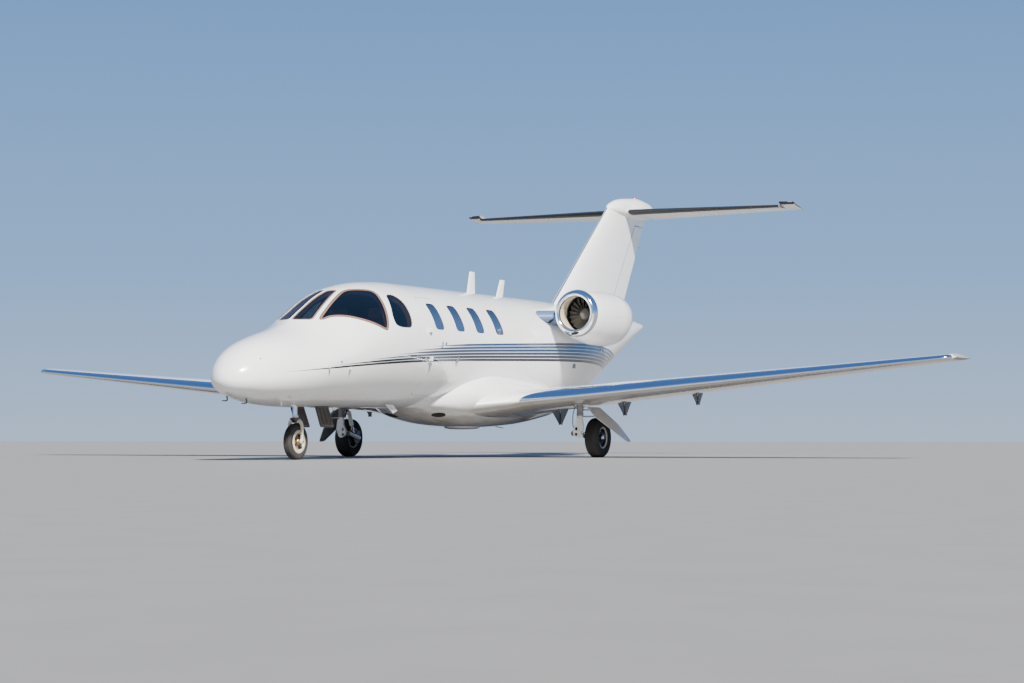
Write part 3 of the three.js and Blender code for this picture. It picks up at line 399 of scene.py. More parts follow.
SKY_TONES = [(0.0, (0.37, 0.48, 0.64)), (0.07, (0.22, 0.38, 0.65)), (0.22, (0.105, 0.25, 0.55)),
             (0.70, (0.070, 0.15, 0.36))]
SIDE_BLUE, CLOUD_GREY = (0.14, 0.29, 0.58), (0.20, 0.235, 0.29)
world = bpy.data.worlds.new("studio_sky")
world.use_nodes = True
bpy.context.scene.world = world
sky = Nodes(world.node_tree)
_, to_left, to_top = sky.axes("Generated")
by_height = sky.node("ShaderNodeValToRGB", {"stops": SKY_TONES}, {0: to_top})
far_right = sky.node("ShaderNodeMapRange", inputs={"Value": to_left, "From Min": -0.62, "From Max": -0.95})
on_dull = sky.node("ShaderNodeLightPath", output="Is Diffuse Ray")
sky_color = sky.mix(on_dull, sky.mix(far_right, by_height, SIDE_BLUE), CLOUD_GREY)
sky.feed(sky.tree.nodes["Background"].inputs["Color"], sky_color)
sky.feed(sky.tree.nodes["Background"].inputs["Strength"], 1.4)

high_lamp = bpy.data.objects.new("high_soft_lamp", bpy.data.lights.new("high_soft_lamp", "SUN"))
high_lamp.data.energy = 13.0
high_lamp.data.angle = math.radians(5)
high_lamp.data.color = (1.0, 0.955, 0.89)
aim(high_lamp, (-0.55, -0.52, -0.65))
print("floor, sky and lamp")

# %% [markdown]
# ## Fuselage sections
# The real fuselage is a pressure tube with a streamlined nose and tail. Each section is two half ovals
# that meet at the widest level. The windscreen's brow is not an ellipse but a little pointed, which the
# exponent of the upper half carries. Between the tabled stations every number follows a monotone cubic
# in the square root of the station, so the nose tip is round and nothing overshoots.

# %% Section table and skin point
SECTIONS = np.array([  # station, half breadth, widest level, top, bottom, crown
    [0, 0, .960, .960, .960, 2.1], [.1, .225, .965, 1.170, .820, 2.1], [.25, .350, .980, 1.295, .760, 2.1],
    [.5, .475, 1.000, 1.420, .700, 2.1], [.8, .565, 1.040, 1.515, .665, 2.0],
    [1.12, .630, 1.100, 1.600, .648, 1.8], [1.38, .675, 1.170, 1.690, .643, 1.65],
    [1.69, .715, 1.250, 1.855, .640, 1.58], [2.07, .765, 1.340, 2.045, .645, 1.72],
    [2.5, .800, 1.420, 2.185, .650, 1.95], [3.0, .820, 1.475, 2.270, .655, 2.0],
    [3.6, .825, 1.485, 2.305, .660, 2.0], [8.1, .825, 1.485, 2.310, .660, 2.0],
    [8.6, .795, 1.520, 2.300, .720, 2.0], [9.2, .715, 1.600, 2.285, .890, 2.0],
    [9.9, .580, 1.710, 2.270, 1.160, 2.0], [10.7, .410, 1.850, 2.250, 1.460, 2.0],
    [11.55, .230, 1.990, 2.210, 1.790, 2.0], [12.25, .070, 2.090, 2.140, 2.040, 2.0]])
WALL, SKIN_GAP = 0.075, 0.0004
NOSE_JOINT, COCKPIT_JOINT, CABIN_JOINT = 1.3, 3.3, 6.7


def smooth_column(x, y, wanted):
    """Monotone cubic through (x, y): slopes are the weighted harmonic mean of the chords' slopes, and 0
    where they change sign; between knots y0 h00 + m0 w h10 + y1 h01 + m1 w h11 (Hermite)."""
    width, slope = np.diff(x), np.diff(y) / np.diff(x)
    w1, w2 = 2 * width[1:] + width[:-1], width[1:] + 2 * width[:-1]
    held = slope[:-1] * slope[1:] > 0
    before, after = np.where(held, slope[:-1], 1.0), np.where(held, slope[1:], 1.0)
    tangent = np.concatenate([slope[:1], np.where(held, (w1 + w2) / (w1 / before + w2 / after), 0), slope[-1:]])
    i = np.clip(np.searchsorted(x, wanted, side="right") - 1, 0, len(x) - 2)
    t = (wanted - x[i]) / width[i]
    start = y[i] * (1 + 2 * t) * (1 - t) ** 2 + tangent[i] * width[i] * t * (1 - t) ** 2
    return start + y[i + 1] * t * t * (3 - 2 * t) + tangent[i + 1] * width[i] * t * t * (t - 1)


def columns_at(table, station, round_front=True):
    """The columns of a table at a station, each a monotone cubic of the station, or of its square root
    from the first row if the front is round."""
    table = np.asarray(table, float)
    warp = (lambda s: np.sqrt(np.maximum(s - table[0, 0], 0))) if round_front else (lambda s: s)
    return [smooth_column(warp(table[:, 0]), column, warp(station)) for column in table.T[1:]]


def section(station):
    """The fuselage's five section numbers at a station, held past its ends."""
    return columns_at(SECTIONS, np.clip(station, 1e-7, SECTIONS[-1, 0]))


def signed_power(value, power):
    return np.sign(value) * np.abs(value) ** power


def hull(station, degrees, inset=0.0, side=1):
    """y = (W - inset) cos^e a, z = M + (reach - inset) sin^e a; e = 2 / crown above M and 1 below it."""
    station, degrees, inset = np.broadcast_arrays(np.asarray(station, float), degrees, inset)
    half, middle, top, bottom, crown = section(station)
    c, s = np.cos(np.radians(degrees)), np.sin(np.radians(degrees))
    power = np.where(s > 0, 2 / crown, 1.0)
    reach_z = np.where(s > 0, top - middle, middle - bottom)
    y = np.maximum(half - inset, 0.0005) * signed_power(c, power)
    z = middle + np.maximum(reach_z - inset, 0.0005) * signed_power(s, power)
    return place(station, side * y, z)


def hull_field(inset=0.0):
    """F = (|y| / (W - inset))^p + (|z - M| / (reach - inset))^p - 1, with p the crown above M, 2 below."""
    def field(points):
        half, middle, top, bottom, crown = section(NOSE_X - points[:, 0])
        up = points[:, 2] > middle
        power = np.where(up, crown, 2.0)
        reach_z = np.where(up, top - middle, middle - bottom) - inset
        across = np.abs(points[:, 1]) / np.maximum(half - inset, 1e-3)
        return across ** power + (np.abs(points[:, 2] - middle) / np.maximum(reach_z, 1e-3)) ** power - 1
    return field


def hull_rings(stations, inset=0.0, count=168):
    return hull(np.asarray(stations)[:, None], np.arange(count) * 360 / count, inset)


def hull_shell(first, last, rings, wall):
    """The outer skin from first to last and the lining back again, as one closed skin."""
    stations = np.linspace(first, last, rings)
    return tube(np.concatenate([hull_rings(stations), hull_rings(stations[::-1], wall)]), loop=True)


print("top of the cabin", round(float(section(4.5)[2]), 3))

# %% [markdown]
# ## White gloss paint with its stripes
# The paint is white polyurethane under a clear coat. Six thin navy stripes start one after another under
# the windscreen, run aft along the waterline and drop towards the tail's underside, with pale blue
# between them. They are painted by sums: the lowest stripe's level and the gap to the next are
# polynomials in the station, fitted here to measured points, and the nearest stripe's number is the
# rounded height above the lowest one, in gaps.

# %% Stripe curves
LOWEST = np.array([[.72, 1.063], [1.49, 1.130], [2.43, 1.200], [3.47, 1.260], [4.29, 1.300], [4.99, 1.320],
                   [6.21, 1.355], [7.49, 1.388], [8.87, 1.391], [9.5, 1.35]])
GAPS = np.array([[.7, .022], [1.55, .027], [2.24, .029], [2.76, .034], [3.3, .037], [4.97, .0416], [7.48, .0452],
                 [8.83, .051]])
STARTS = np.array([.52, 1.40, 2.10, 2.62, 3.15, 3.60])
TOP_STRIPE, SOFT_EDGE, BAND_FADE = 5.0, 0.0016, 1.6
level_fit = np.polyfit(LOWEST[:, 0], LOWEST[:, 1], 5)
gap_fit = np.polyfit(GAPS[:, 0], GAPS[:, 1], 3)
start_fit = np.polyfit(np.arange(6), STARTS, 3)
NAVY, INK_TOP, SKY_BAND = (0.008, 0.006, 0.009), (0.016, 0.038, 0.085), (0.26, 0.37, 0.62)
fit_error = np.abs(np.polyval(level_fit, LOWEST[:, 0]) - LOWEST[:, 1]).max()
print("stripe fit error", round(float(fit_error), 4), "m")


def stripes(finish):
    """Masks of the lines and of the pale bands between them, and the ink, black below and blue above.
    A line is half as wide as run x gap x (0.42 - 0.014 number), where run grows over its first metre."""
    x, _, z = finish.axes()
    station = NOSE_X - x
    gap = station.polynomial(gap_fit)
    height = (z - station.polynomial(level_fit)) / gap
    number = height.rounded().high(0.0).low(TOP_STRIPE)
    run = (station - number.polynomial(start_fit)).unit()
    half_width = run * gap * (0.42 - 0.014 * number)
    off = abs(height - number) * gap
    lines = ((half_width - off) / SOFT_EDGE + 0.5).unit() * run.above(0.004, 0.004)
    ink = finish.mix(number / TOP_STRIPE, NAVY, INK_TOP)
    upper = height.ceiling().high(1.0)
    grown_in = ((station - upper.polynomial(start_fit)) / BAND_FADE).unit()
    bands = height.between(0.0, TOP_STRIPE, 0.04) * grown_in * (0.10 + 0.16 * upper)
    return lines, bands, ink


# %% Fuselage paint
WHITE, WHITE_SHADE, WHITE_LIGHT = (0.84, 0.85, 0.87), (0.80, 0.81, 0.83), (0.88, 0.885, 0.89)
SKIN_JOINTS = [3.3, 6.7, 8.15, 9.55, 10.9]
SKIN_SEAM = 0.0022


def gloss_white(name):
    """White paint under a clear coat, before its marks are added."""
    return Finish(name, WHITE, roughness=0.2, coat_weight=1.0, coat_roughness=0.03)


def highest(masks):
    """The highest of several masks, 0 if there are none."""
    top = 0.0
    for mask in masks:
        top = mask.high(top)
    return top


def lines_at(value, marks, half_width):
    """Thin lines: 1 where the value is one of the marks, falling straight to 0 at half_width from it."""
    return highest(1.0 - (abs(value - mark) / half_width).unit() for mark in marks)


def white_paint(name, joints=(), striped=False, under_shade=0.0):
    """Gloss white with slow tone, butt joints between skins, and painted shade, brown and streaked, below the
    waterline.
    """
    finish = gloss_white(name)
    x, _, z = finish.axes()
    tone, fine = finish.noise(1.6, 4.0, 0.55), finish.noise(38.0, 3.0, 0.6)
    color = finish.mix(tone * 0.6 + 0.2, WHITE_SHADE, WHITE_LIGHT)
    rough = 0.16 + 0.10 * tone + 0.04 * fine
    seams = lines_at(NOSE_X - x, joints, SKIN_SEAM)
    if striped:
        lines, bands, ink = stripes(finish)
        color = finish.mix(lines, finish.mix(bands, color, SKY_BAND), ink)
    # Painted shade: below the waterline the white turns brown in streaks, standing in for the shade under the belly.
    if under_shade:
        streak = finish.noise(2.2, 5.0, 0.65, (0.35, 1.0, 2.6))
        low = z.below(0.74, 0.26) * (0.25 + streak.above(0.45, 0.35)) * under_shade
        color = finish.mix(low, color, (0.30, 0.25, 0.19))
        rough = rough + low * 0.3
    color = finish.mix(seams * 0.55, color, (0.16, 0.16, 0.17))
    finish.set("Base Color", color).set("Roughness", rough).set("Coat Weight", 1.0 - 0.25 * tone)
    finish.bump(fine * 0.02 - seams, 0.0012)
    return finish.material


fuselage_paint = white_paint("fuselage_paint", SKIN_JOINTS, striped=True, under_shade=0.5)
plain_paint = white_paint("plain_white_paint", under_shade=0.25)


def cloth_like(name, color, other, scale, rough, depth):
    """A matt finish: two tones by noise and a fine grain."""
    finish = Finish(name, color, roughness=rough)
    finish.set("Base Color", finish.mix(finish.noise(scale, 4.0, 0.6), color, other))
    finish.bump(finish.noise(scale * 14, 2.0, 0.6), depth)
    return finish.material


lining = cloth_like("headliner", (0.10, 0.105, 0.12), (0.16, 0.16, 0.175), 6.0, 0.9, 0.0008)
tan_trim = cloth_like("tan_window_trim", (0.15, 0.085, 0.052), (0.21, 0.125, 0.08), 9.0, 0.55, 0.0005)
print("paint", fuselage_paint.name, plain_paint.name)

# %% [markdown]
# ## Nose cone
# On the real aircraft this is a composite radome and the baggage bay behind it. It is a closed body of
# rings that crowd together towards the tip, where the skin curves most.

# %% Nose cone
nose_stations = (NOSE_JOINT - SKIN_GAP) * np.linspace(0.03, 1.0, 90) ** 2
nose = tube(hull_rings(nose_stations), tips=([NOSE_X, 0, 0.96], None))
piece("nose_skin", "airframe", [(nose, fuselage_paint)], "nose_cone")

# %% [markdown]
# ## Window and door outlines
# Every opening is drawn in the unrolled skin: station across and degrees round the section upwards, at
# 14.4 mm of skin a degree. Corners are quadratic curves. The same outline serves three times: as the
# cutter that opens the wall, as the pane in it and as the seal round the pane.

# %% Outlines
UNROLL = 0.0144
PILOT_WINDOW = [[1.625, 60], [2.42, 75.8], [2.68, 67.2], [2.83, 60], [2.725, 41], [2.595, 19], [2.515, 13.5],
                [2.265, 27.1], [1.951, 45.6], [1.79, 54], [1.68, 55.5]]
REAR_WINDOW = [[2.935, 52.4], [3.11, 51.8], [3.205, 42], [3.18, 23], [3.12, 13.8], [2.87, 14.6], [2.74, 18.1],
               [2.735, 27]]
WINDSHIELD = [[1.445, 87.4], [1.475, 76], [1.57, 63.5], [2.0, 71.2], [2.365, 78.8], [2.31, 88.2]]
CABIN_STATIONS, CABIN_HALF, CABIN_ANGLES = [3.88, 4.46, 5.03, 5.61], 0.122, (13.7, 41.5)
DOOR_FRONT, DOOR_BACK, DOOR_ANGLES, DOOR_LEAN = 3.58, 4.18, (-52.6, 48.5), 0.6
CLEAR = 0.007
SIDES = {"left": 1, "right": -1}


def rectangle(front, back, low, high):
    return [[front, low], [back, low], [back, high], [front, high]]


def rounded(corners, radius, count=240, steps=9):
    """Each corner C becomes (1 - t)^2 A + 2 t (1 - t) C + t^2 B, with A and B up to radius along its
    sides; the outline is then cut into `count` equal lengths."""
    sharp = np.asarray(corners, float) * [1, UNROLL]

    def towards(other):
        side = other - sharp
        length = np.linalg.norm(side, axis=1, keepdims=True)
        return sharp + side / length * np.minimum(radius, length / 2.2)

    a, b = towards(np.roll(sharp, 1, 0)), towards(np.roll(sharp, -1, 0))
    t = np.linspace(0, 1, steps)[:, None, None]
    curve = ((1 - t) ** 2 * a + 2 * t * (1 - t) * sharp + t * t * b).swapaxes(0, 1).reshape(-1, 2)
    closed = np.vstack([curve, curve[:1]])
    along = np.concatenate([[0], np.cumsum(np.linalg.norm(np.diff(closed, axis=0), axis=1))])
    even = np.linspace(0, along[-1], count, endpoint=False)
    return np.stack([np.interp(even, along, closed[:, k]) for k in (0, 1)], 1)


def grown(outline, amount):
    """Each point moves by amount along the outward normal: the tangent turned by a right angle."""
    tangent = np.roll(outline, -1, 0) - np.roll(outline, 1, 0)
    area = np.sum(outline[:, 0] * np.roll(outline[:, 1], -1) - np.roll(outline[:, 0], -1) * outline[:, 1])
    return outline + amount * np.sign(area) * unit(np.stack([tangent[:, 1], -tangent[:, 0]], 1))


def on_skin(outline, inset=0.0, side=1, lean=0.0):
    """Unrolled points on the skin. With lean, points aft of the middle slide forward as they go in."""
    middle = (outline.min(0) + outline.max(0)) / 2
    aft = np.clip((outline[:, 0] - middle[0]) / (outline[:, 0].max() - middle[0]), 0, 0.5) * 2
    return hull(outline[:, 0] - lean * inset * aft, outline[:, 1] / UNROLL, inset, side)


def plug(outline, side=1, lean=0.0):
    """The cutter: the outline 40 mm outside the skin and 115 mm inside it, closed far off on both sides."""
    middle = (outline.min(0) + outline.max(0)) / 2
    rings = np.stack([on_skin(outline, depth, side, lean) for depth in (-0.04, WALL + 0.04)])
    tips = [hull(middle[0], middle[1] / UNROLL, depth, side) for depth in (-0.5, 0.42)]
    return tube(rings, tips=tips)


COCKPIT_PANES = {"windshield": rounded(WINDSHIELD, 0.07), "pilot_window": rounded(PILOT_WINDOW, 0.14, 320),
                 "cockpit_rear_window": rounded(REAR_WINDOW, 0.09)}
CABIN_PANES = {f"cabin_window_{i + 1}": rounded(rectangle(s - CABIN_HALF, s + CABIN_HALF, *CABIN_ANGLES), 0.07, 160)
               for i, s in enumerate(CABIN_STATIONS)}
DOOR_PANE = ("cabin_window_1", "left")
door_outline = rounded(rectangle(DOOR_FRONT, DOOR_BACK, *DOOR_ANGLES), 0.11, 320)
print("panes a side", len(COCKPIT_PANES) + len(CABIN_PANES))

# %% [markdown]
# ## Cockpit and cabin shells
# Each shell is the skin and its lining as one closed wall, opened with the plugs. The faces that the
# plugs leave show as the trim round each window; the lining inside is dark, as in a cockpit kept free
# of reflections.

# %% Shells and door
def box_space(low, high):
    """A plain box between corners (station, y, z), as a tool."""
    (s0, y0, z0), (s1, y1, z1) = low, high
    return tube(np.stack([place([s0, s1, s1, s0], [y0, y0, y1, y1], z) for z in (z0, z1)]))


def open_shell(name, first, last, rings, cutters, nodes, body="airframe", keep=None):
    """Skin and lining from first to last, cut open; the cut faces above the waterline get the trim."""
    shell = mesh_object(name, [hull_shell(first, last, rings, WALL)])
    if keep is not None:
        carve(shell, keep, operation="INTERSECT")
    carve(shell, *cutters)
    owner = true_normals(shell, hull_field(), hull_field(WALL))
    middle = middles(shell)
    station = NOSE_X - middle[:, 0]
    level = section(station)[1]
    by_window = (middle[:, 2] > level + 0.05) & (owner < 0) & (station > first + 0.02) & (station < last - 0.02)
    if keep is not None:
        by_window &= (np.abs(station - CABIN_STATIONS[0]) < 0.14) & (middle[:, 2] < level + 0.62)
    elif first == COCKPIT_JOINT:
        by_window &= ~((middle[:, 1] > 0) & (station < DOOR_BACK + 0.04))
    index = np.where(owner == 1, 1, np.where(by_window, 2, 0))
    finish_faces(shell, [fuselage_paint, lining, tan_trim], index)
    return settle(shell, name, body, nodes)


cockpit_cuts = [plug(outline, side) for outline in COCKPIT_PANES.values() for side in SIDES.values()]
wheel_bay = box_space((1.47, -0.145, 0.5), (2.09, 0.145, 0.78))
cockpit = open_shell("cockpit_skin", NOSE_JOINT, COCKPIT_JOINT - SKIN_GAP, 110, [*cockpit_cuts, wheel_bay],
                     "cockpit_shell")
cabin_cuts = [plug(outline, side) for name, outline in CABIN_PANES.items() for label, side in SIDES.items()
              if (name, label) != DOOR_PANE]
doorway = plug(grown(door_outline, CLEAR), lean=DOOR_LEAN)
cabin = open_shell("cabin_skin", COCKPIT_JOINT, CABIN_JOINT - SKIN_GAP, 100, [*cabin_cuts, doorway], "cabin_shell")
door = open_shell("door_skin", COCKPIT_JOINT + 0.1, 4.5, 60, [plug(CABIN_PANES["cabin_window_1"])], "cabin_door",
                  "door", plug(door_outline, lean=DOOR_LEAN))
print("faces", {shell.name: len(shell.data.polygons) for shell in (cockpit, cabin, door)})

# %% [markdown]
# ## Tail cone
# Behind the cabin the tube narrows to a thin tail that carries the fin. It has no windows, so a closed
# body of rings is all that it needs.

# %% Tail cone
tail_stations = np.linspace(CABIN_JOINT, 12.25, 170)
tail = tube(hull_rings(tail_stations))
piece("tail_skin", "airframe", [(tail, fuselage_paint)], "tail_fuselage")

# %% [markdown]
# ## Rods, pipes, plates
# Gear legs, antennas and probes are a profile turned round an axis, a circle carried along a path, or an
# outline with a thickness. All three are rings again.

# %% Turned forms, pipes and slabs
def turned(profile, centre, axis, segments=48, closed=False):
    """A row (r, d) of the profile becomes the circle c + d n + r (cos a u + sin a v), n the axis."""
    (profile, centre), n = floats(profile, centre), unit(axis)
    u = unit(np.cross(n, [0.0, 0.0, 1.0] if abs(n[2]) < 0.9 else [1.0, 0.0, 0.0]))
    v = np.cross(n, u)
    a = full_turn(segments)
    circle = np.cos(a)[:, None] * u + np.sin(a)[:, None] * v
    rings = centre + profile[:, 1, None, None] * n + profile[:, 0, None, None] * circle
    return tube(rings, loop=closed, tips=[centre + profile[k, 1] * n for k in (0, -1)])


def rod(start, end, radius, bevel=0.003, segments=36):
    """A round bar between two points with its end edges taken off."""
    start, end = floats(start, end)
    length = np.linalg.norm(end - start)
    profile = [(radius - bevel, 0), (radius, bevel), (radius, length - bevel), (radius - bevel, length)]
    return turned(profile, start, end - start, segments)


def curve(points, count=40):
    """Points evenly along the monotone cubics through the given ones, by their distance along the line."""
    points = np.asarray(points, float)
    along = np.concatenate([[0], np.cumsum(np.linalg.norm(np.diff(points, axis=0), axis=1))])
    wanted = np.linspace(0, along[-1], count)
    return np.stack([smooth_column(along, column, wanted) for column in points.T], 1)


def pipe(path, radius, sides=16, closed=False, flat=1.0):
    """Circles p + r (cos a u + flat sin a v) square to the path; flat under 1 makes them ovals."""
    path = np.asarray(path, float)
    ahead = np.roll(path, -1, 0) - np.roll(path, 1, 0) if closed else np.gradient(path, axis=0)
    ahead = unit(ahead)
    guide = np.eye(3)[np.argmin(np.abs(ahead).mean(0))]
    u = unit(np.cross(ahead, guide))
    v = np.cross(ahead, u)
    a = full_turn(sides)[None, :, None]
    size = np.broadcast_to(radius, len(path))[:, None, None]
    return tube(path[:, None] + size * (np.cos(a) * u[:, None] + flat * np.sin(a) * v[:, None]), loop=closed)


def slab(outline, through, bevel=0.002):
    """An outline in space and the same outline moved by `through`, its edges drawn in by the bevel."""
    outline, through = floats(outline, through)
    middle = outline.mean(0)
    drawn = outline - unit(outline - middle) * bevel
    edge = unit(through) * bevel
    return tube(np.stack([drawn, outline + edge, outline + through - edge, drawn + through]))


def flat_ring(corners, bend, count=72):
    """A flat outline in metres with its corners rounded by bend."""
    return rounded(np.asarray(corners, float) / [1, UNROLL], bend, count)


def side_plate(corners, y, thick, bend=0.02):
    """A plate in a side view: corners are (station, z), rounded by bend, from y to y + thick."""
    flat = flat_ring(corners, bend)
    return slab(place(flat[:, 0], y, flat[:, 1]), (0, thick, 0))


def block(low, high, bevel=0.004):
    """A box between two corners (station, y, z), its edges drawn in."""
    (s0, y0, z0), (s1, y1, z1) = low, high
    return slab(place([s0, s1, s1, s0], [y0, y0, y1, y1], z0), (0, 0, z1 - z0), bevel)


def skin_ring(outline, side, radius, depth):
    """A bead that follows an outline on the skin."""
    return pipe(on_skin(outline, depth, side), radius, 10, closed=True)


# %% [markdown]
# ## Panes, seals and frames
# The panes are stretched acrylic, set almost flush and sealed with a dark bead. Each pane is a grid
# between the outline and its middle, on the skin at two depths. Each glass is one shader made partly
# see-through by its alpha: reflections come from its gloss and the cabin shows through. The cabin
# panes' blue, darker towards the roof, is a painted reflection of the sky, and the cockpit panes are
# near black, a painted shade over the dark cockpit behind them.

# %% Glass and its edges
TRIM_WIDE = {"windshield": -0.024, "pilot_window": -0.036, "cockpit_rear_window": -0.010}
# Painted shade: the cockpit glass is near black and half opaque, darkening the cockpit seen through it.
cockpit_glass = Finish("cockpit_glass", (0.003, 0.006, 0.012), roughness=0.02, alpha=0.50)
cockpit_glass.set("Roughness", 0.015 + 0.02 * cockpit_glass.noise(3.0, 3.0))
# Painted reflection: the cabin glass is blue for the sky it reflects, darker towards the roof.
cabin_glass = Finish("cabin_glass", (0.030, 0.075, 0.200), roughness=0.03, alpha=0.92)
to_roof = cabin_glass.axes()[2].above(1.92, 0.30)
cabin_glass.set("Base Color", cabin_glass.mix(to_roof, (0.030, 0.062, 0.135), (0.008, 0.016, 0.036)))
cabin_glass.set("Roughness", 0.02 + 0.03 * cabin_glass.noise(4.0, 3.0))
seal_rubber = Finish("seal_rubber", (0.05, 0.055, 0.065), roughness=0.55)
seal_rubber.set("Roughness", 0.45 + 0.2 * seal_rubber.noise(30.0, 2.0))


def pane_skin(outline, side, front=0.006, back=0.018, steps=14):
    """Rings from the outline's middle to its edge, P(r, t) = middle + r (edge(t) - middle), on two depths."""
    edge = grown(outline, -0.0008)
    middle = (edge.min(0) + edge.max(0)) / 2
    flat = middle + (np.arange(1, steps + 1) / steps)[:, None, None] * (edge - middle)
    sheets = [hull(flat[..., 0], flat[..., 1] / UNROLL, depth, side) for depth in (front, back)]
    tips = [hull(middle[0], middle[1] / UNROLL, depth, side) for depth in (front, back)]
    return tube(np.concatenate([sheets[0], sheets[1][::-1]]), tips=tips)


def band(outline, side, outer, inner, front, back):
    """A flat ring between two offsets of an outline, from one depth under the skin to another."""
    edges = [(outer, front), (inner, front), (inner, back), (outer, back)]
    return tube(np.stack([on_skin(grown(outline, grow), depth, side) for grow, depth in edges]), loop=True)


for label, side in SIDES.items():
    for name, outline in {**COCKPIT_PANES, **CABIN_PANES}.items():
        body = "door" if (name, label) == DOOR_PANE else "airframe"
        in_cabin = name in CABIN_PANES
        glass, bead = (cabin_glass, 0.0045) if in_cabin else (cockpit_glass, 0.006)
        piece(f"{label}_{name}_pane", body, [(pane_skin(outline, side), glass.material)],
              f"{label}_{name}", sharp=60)
        piece(f"{label}_{name}_seal", body,
              [(skin_ring(grown(outline, -0.004), side, bead, 0.004), seal_rubber.material)])
        piece(f"{label}_{name}_frame", body,
              [(skin_ring(grown(outline, 0.010), side, 0.0036, 0.0026), plain_paint)])
        if not in_cabin:
            piece(f"{label}_{name}_trim", "airframe",
                  [(band(outline, side, -0.003, TRIM_WIDE[name], 0.0035, 0.0065), tan_trim)])
print("panes, seals and frames", len(SIDES) * (len(COCKPIT_PANES) + len(CABIN_PANES)))

# %% [markdown]
# ## Metals
# The leading edges, the intake lips and the gear's pistons are polished; struts and fasteners are dull.
# Metal is base colour and roughness: brushed grain is fine stretched noise in the roughness.

# %% Metals, rubber and other finishes
def metal(name, color, rough, spread=0.08, scale=30.0, stretch=(1.0, 1.0, 1.0)):
    finish = Finish(name, color, roughness=rough, metallic=1.0)
    brushed = finish.noise(scale, 3.0, 0.6, stretch)
    finish.set("Roughness", rough + spread * (brushed - 0.4))
    finish.set("Base Color", finish.mix(brushed, color, tuple(0.86 * c for c in color)))
    return finish.material


polished = metal("polished_aluminium", (0.86, 0.88, 0.92), 0.12, 0.06, 14.0)
chrome = metal("chromed_piston", (0.83, 0.85, 0.88), 0.07, 0.03)
steel = metal("dull_steel", (0.50, 0.51, 0.53), 0.38, 0.14)
dark_steel = metal("dark_steel", (0.12, 0.12, 0.13), 0.42, 0.15)
fan_metal = cloth_like("fan_titanium", (0.20, 0.195, 0.18), (0.13, 0.127, 0.12), 40.0, 0.32, 0.0002)
nozzle_metal = metal("heat_tinted_nozzle", (0.46, 0.42, 0.38), 0.36, 0.15, 8.0)
tyre_finish = Finish("tyre_rubber", (0.014, 0.014, 0.015), roughness=0.82)
dust = tyre_finish.noise(7.0, 5.0, 0.65)
dusty = tyre_finish.mix(dust.above(0.40, 0.4) * 0.7, (0.011, 0.011, 0.012), (0.042, 0.038, 0.034))
tyre_finish.set("Base Color", dusty).set("Roughness", 0.74 + 0.2 * dust)
tyre_finish.bump(tyre_finish.noise(160.0, 2.0), 0.0006)
rubber = tyre_finish.material
gear_paint = white_paint("gear_white_paint")
cream = cloth_like("cream_enamel", (0.66, 0.61, 0.49), (0.55, 0.50, 0.40), 12.0, 0.35, 0.0003)
cove_paint = cloth_like("cove_grey_paint", (0.30, 0.31, 0.32), (0.22, 0.22, 0.23), 5.0, 0.55, 0.0004)
primer = cloth_like("olive_primer", (0.035, 0.032, 0.026), (0.060, 0.052, 0.038), 9.0, 0.6, 0.0004)
tan_primer = cloth_like("tan_primer", (0.13, 0.10, 0.07), (0.09, 0.07, 0.05), 12.0, 0.55, 0.0003)
print("metals and paints")

# %% [markdown]
# ## Lifting surfaces
# Wing, fin and tailplane share one section: the classic four-digit thickness curve, a little fuller
# above than below on the wing. Rows of a table give leading edge, level, chord and thickness at places
# along the span, and the surface is straight between rows, as the real one is built on ribs and spars.

# %% Foil surfaces and fields
WING = np.array([  # span, leading edge, level, chord, thickness / chord
    [.60, 4.800, .680, 2.961, .120], [1.25, 5.220, .765, 2.420, .130], [3.90, 5.420, .998, 1.727, .125],
    [7.05, 5.640, 1.278, .921, .105], [7.09, 5.690, 1.284, .850, .100], [7.13, 5.830, 1.290, .640, .070]])
STABILIZER = np.array([[0, 11.460, 3.925, 1.020, .100], [2.86, 11.690, 3.925, .455, .090],
                       [2.895, 11.760, 3.925, .360, .050]])
FIN = np.array([[2.05, 8.651, 0, 2.717, .100], [3.98, 11.036, 0, 1.538, .100]])
PYLON = np.array([[.46, 7.015, 1.997, 1.445, .162], [.93, 7.330, 2.010, 1.130, .170]])
TRAILING_EDGE = 0.003


def half_thickness(f, ratio):
    """5 t (0.2969 sqrt f - 0.126 f - 0.3516 f^2 + 0.2843 f^3 - 0.1036 f^4)."""
    f = np.maximum(f, 0)
    return 5 * ratio * (0.2969 * np.sqrt(f) - 0.126 * f - 0.3516 * f**2 + 0.2843 * f**3 - 0.1036 * f**4)


def rows_at(rows, span):
    return [np.interp(span, rows[:, 0], rows[:, k]) for k in range(1, 5)]


def flat_lay(span, station, level):
    """For a wing or tailplane: the span is y and the level is z."""
    return place(station, span, level)


def upright_lay(span, station, level):
    """For the fin: the span is z and the level is y."""
    return place(station, level, span)


def foil(rows, spans, lay, shares=(1.0, 1.0), count=64):
    """Section points at chord fractions f = (1 - cos a) / 2, above the level by share x half thickness
    and back below it; the section's numbers are straight-line values of the table at each span. Past
    the last row but one the thickness falls off as sqrt(1 - t^2), a round tip."""
    spans = np.asarray(spans, float)[:, None]
    f = (1 - np.cos(np.linspace(0, np.pi, count))) / 2
    lead, level, chord, ratio = rows_at(rows, spans)
    half = half_thickness(f, ratio) * chord + TRAILING_EDGE * f
    if len(rows) > 2:
        into_tip = (spans - rows[-2, 0]) / (rows[-1, 0] - rows[-2, 0])
        half = half * np.where(into_tip > 0, np.sqrt(np.clip(1 - into_tip**2, 0.02, 1)), 1)
    station = lead + f * chord
    upper, lower = level + shares[0] * half, level - shares[1] * half
    station = np.concatenate([station, station[:, :0:-1]], 1)
    height = np.concatenate([upper, lower[:, :0:-1]], 1)
    return tube(lay(spans + 0 * station, station, height))


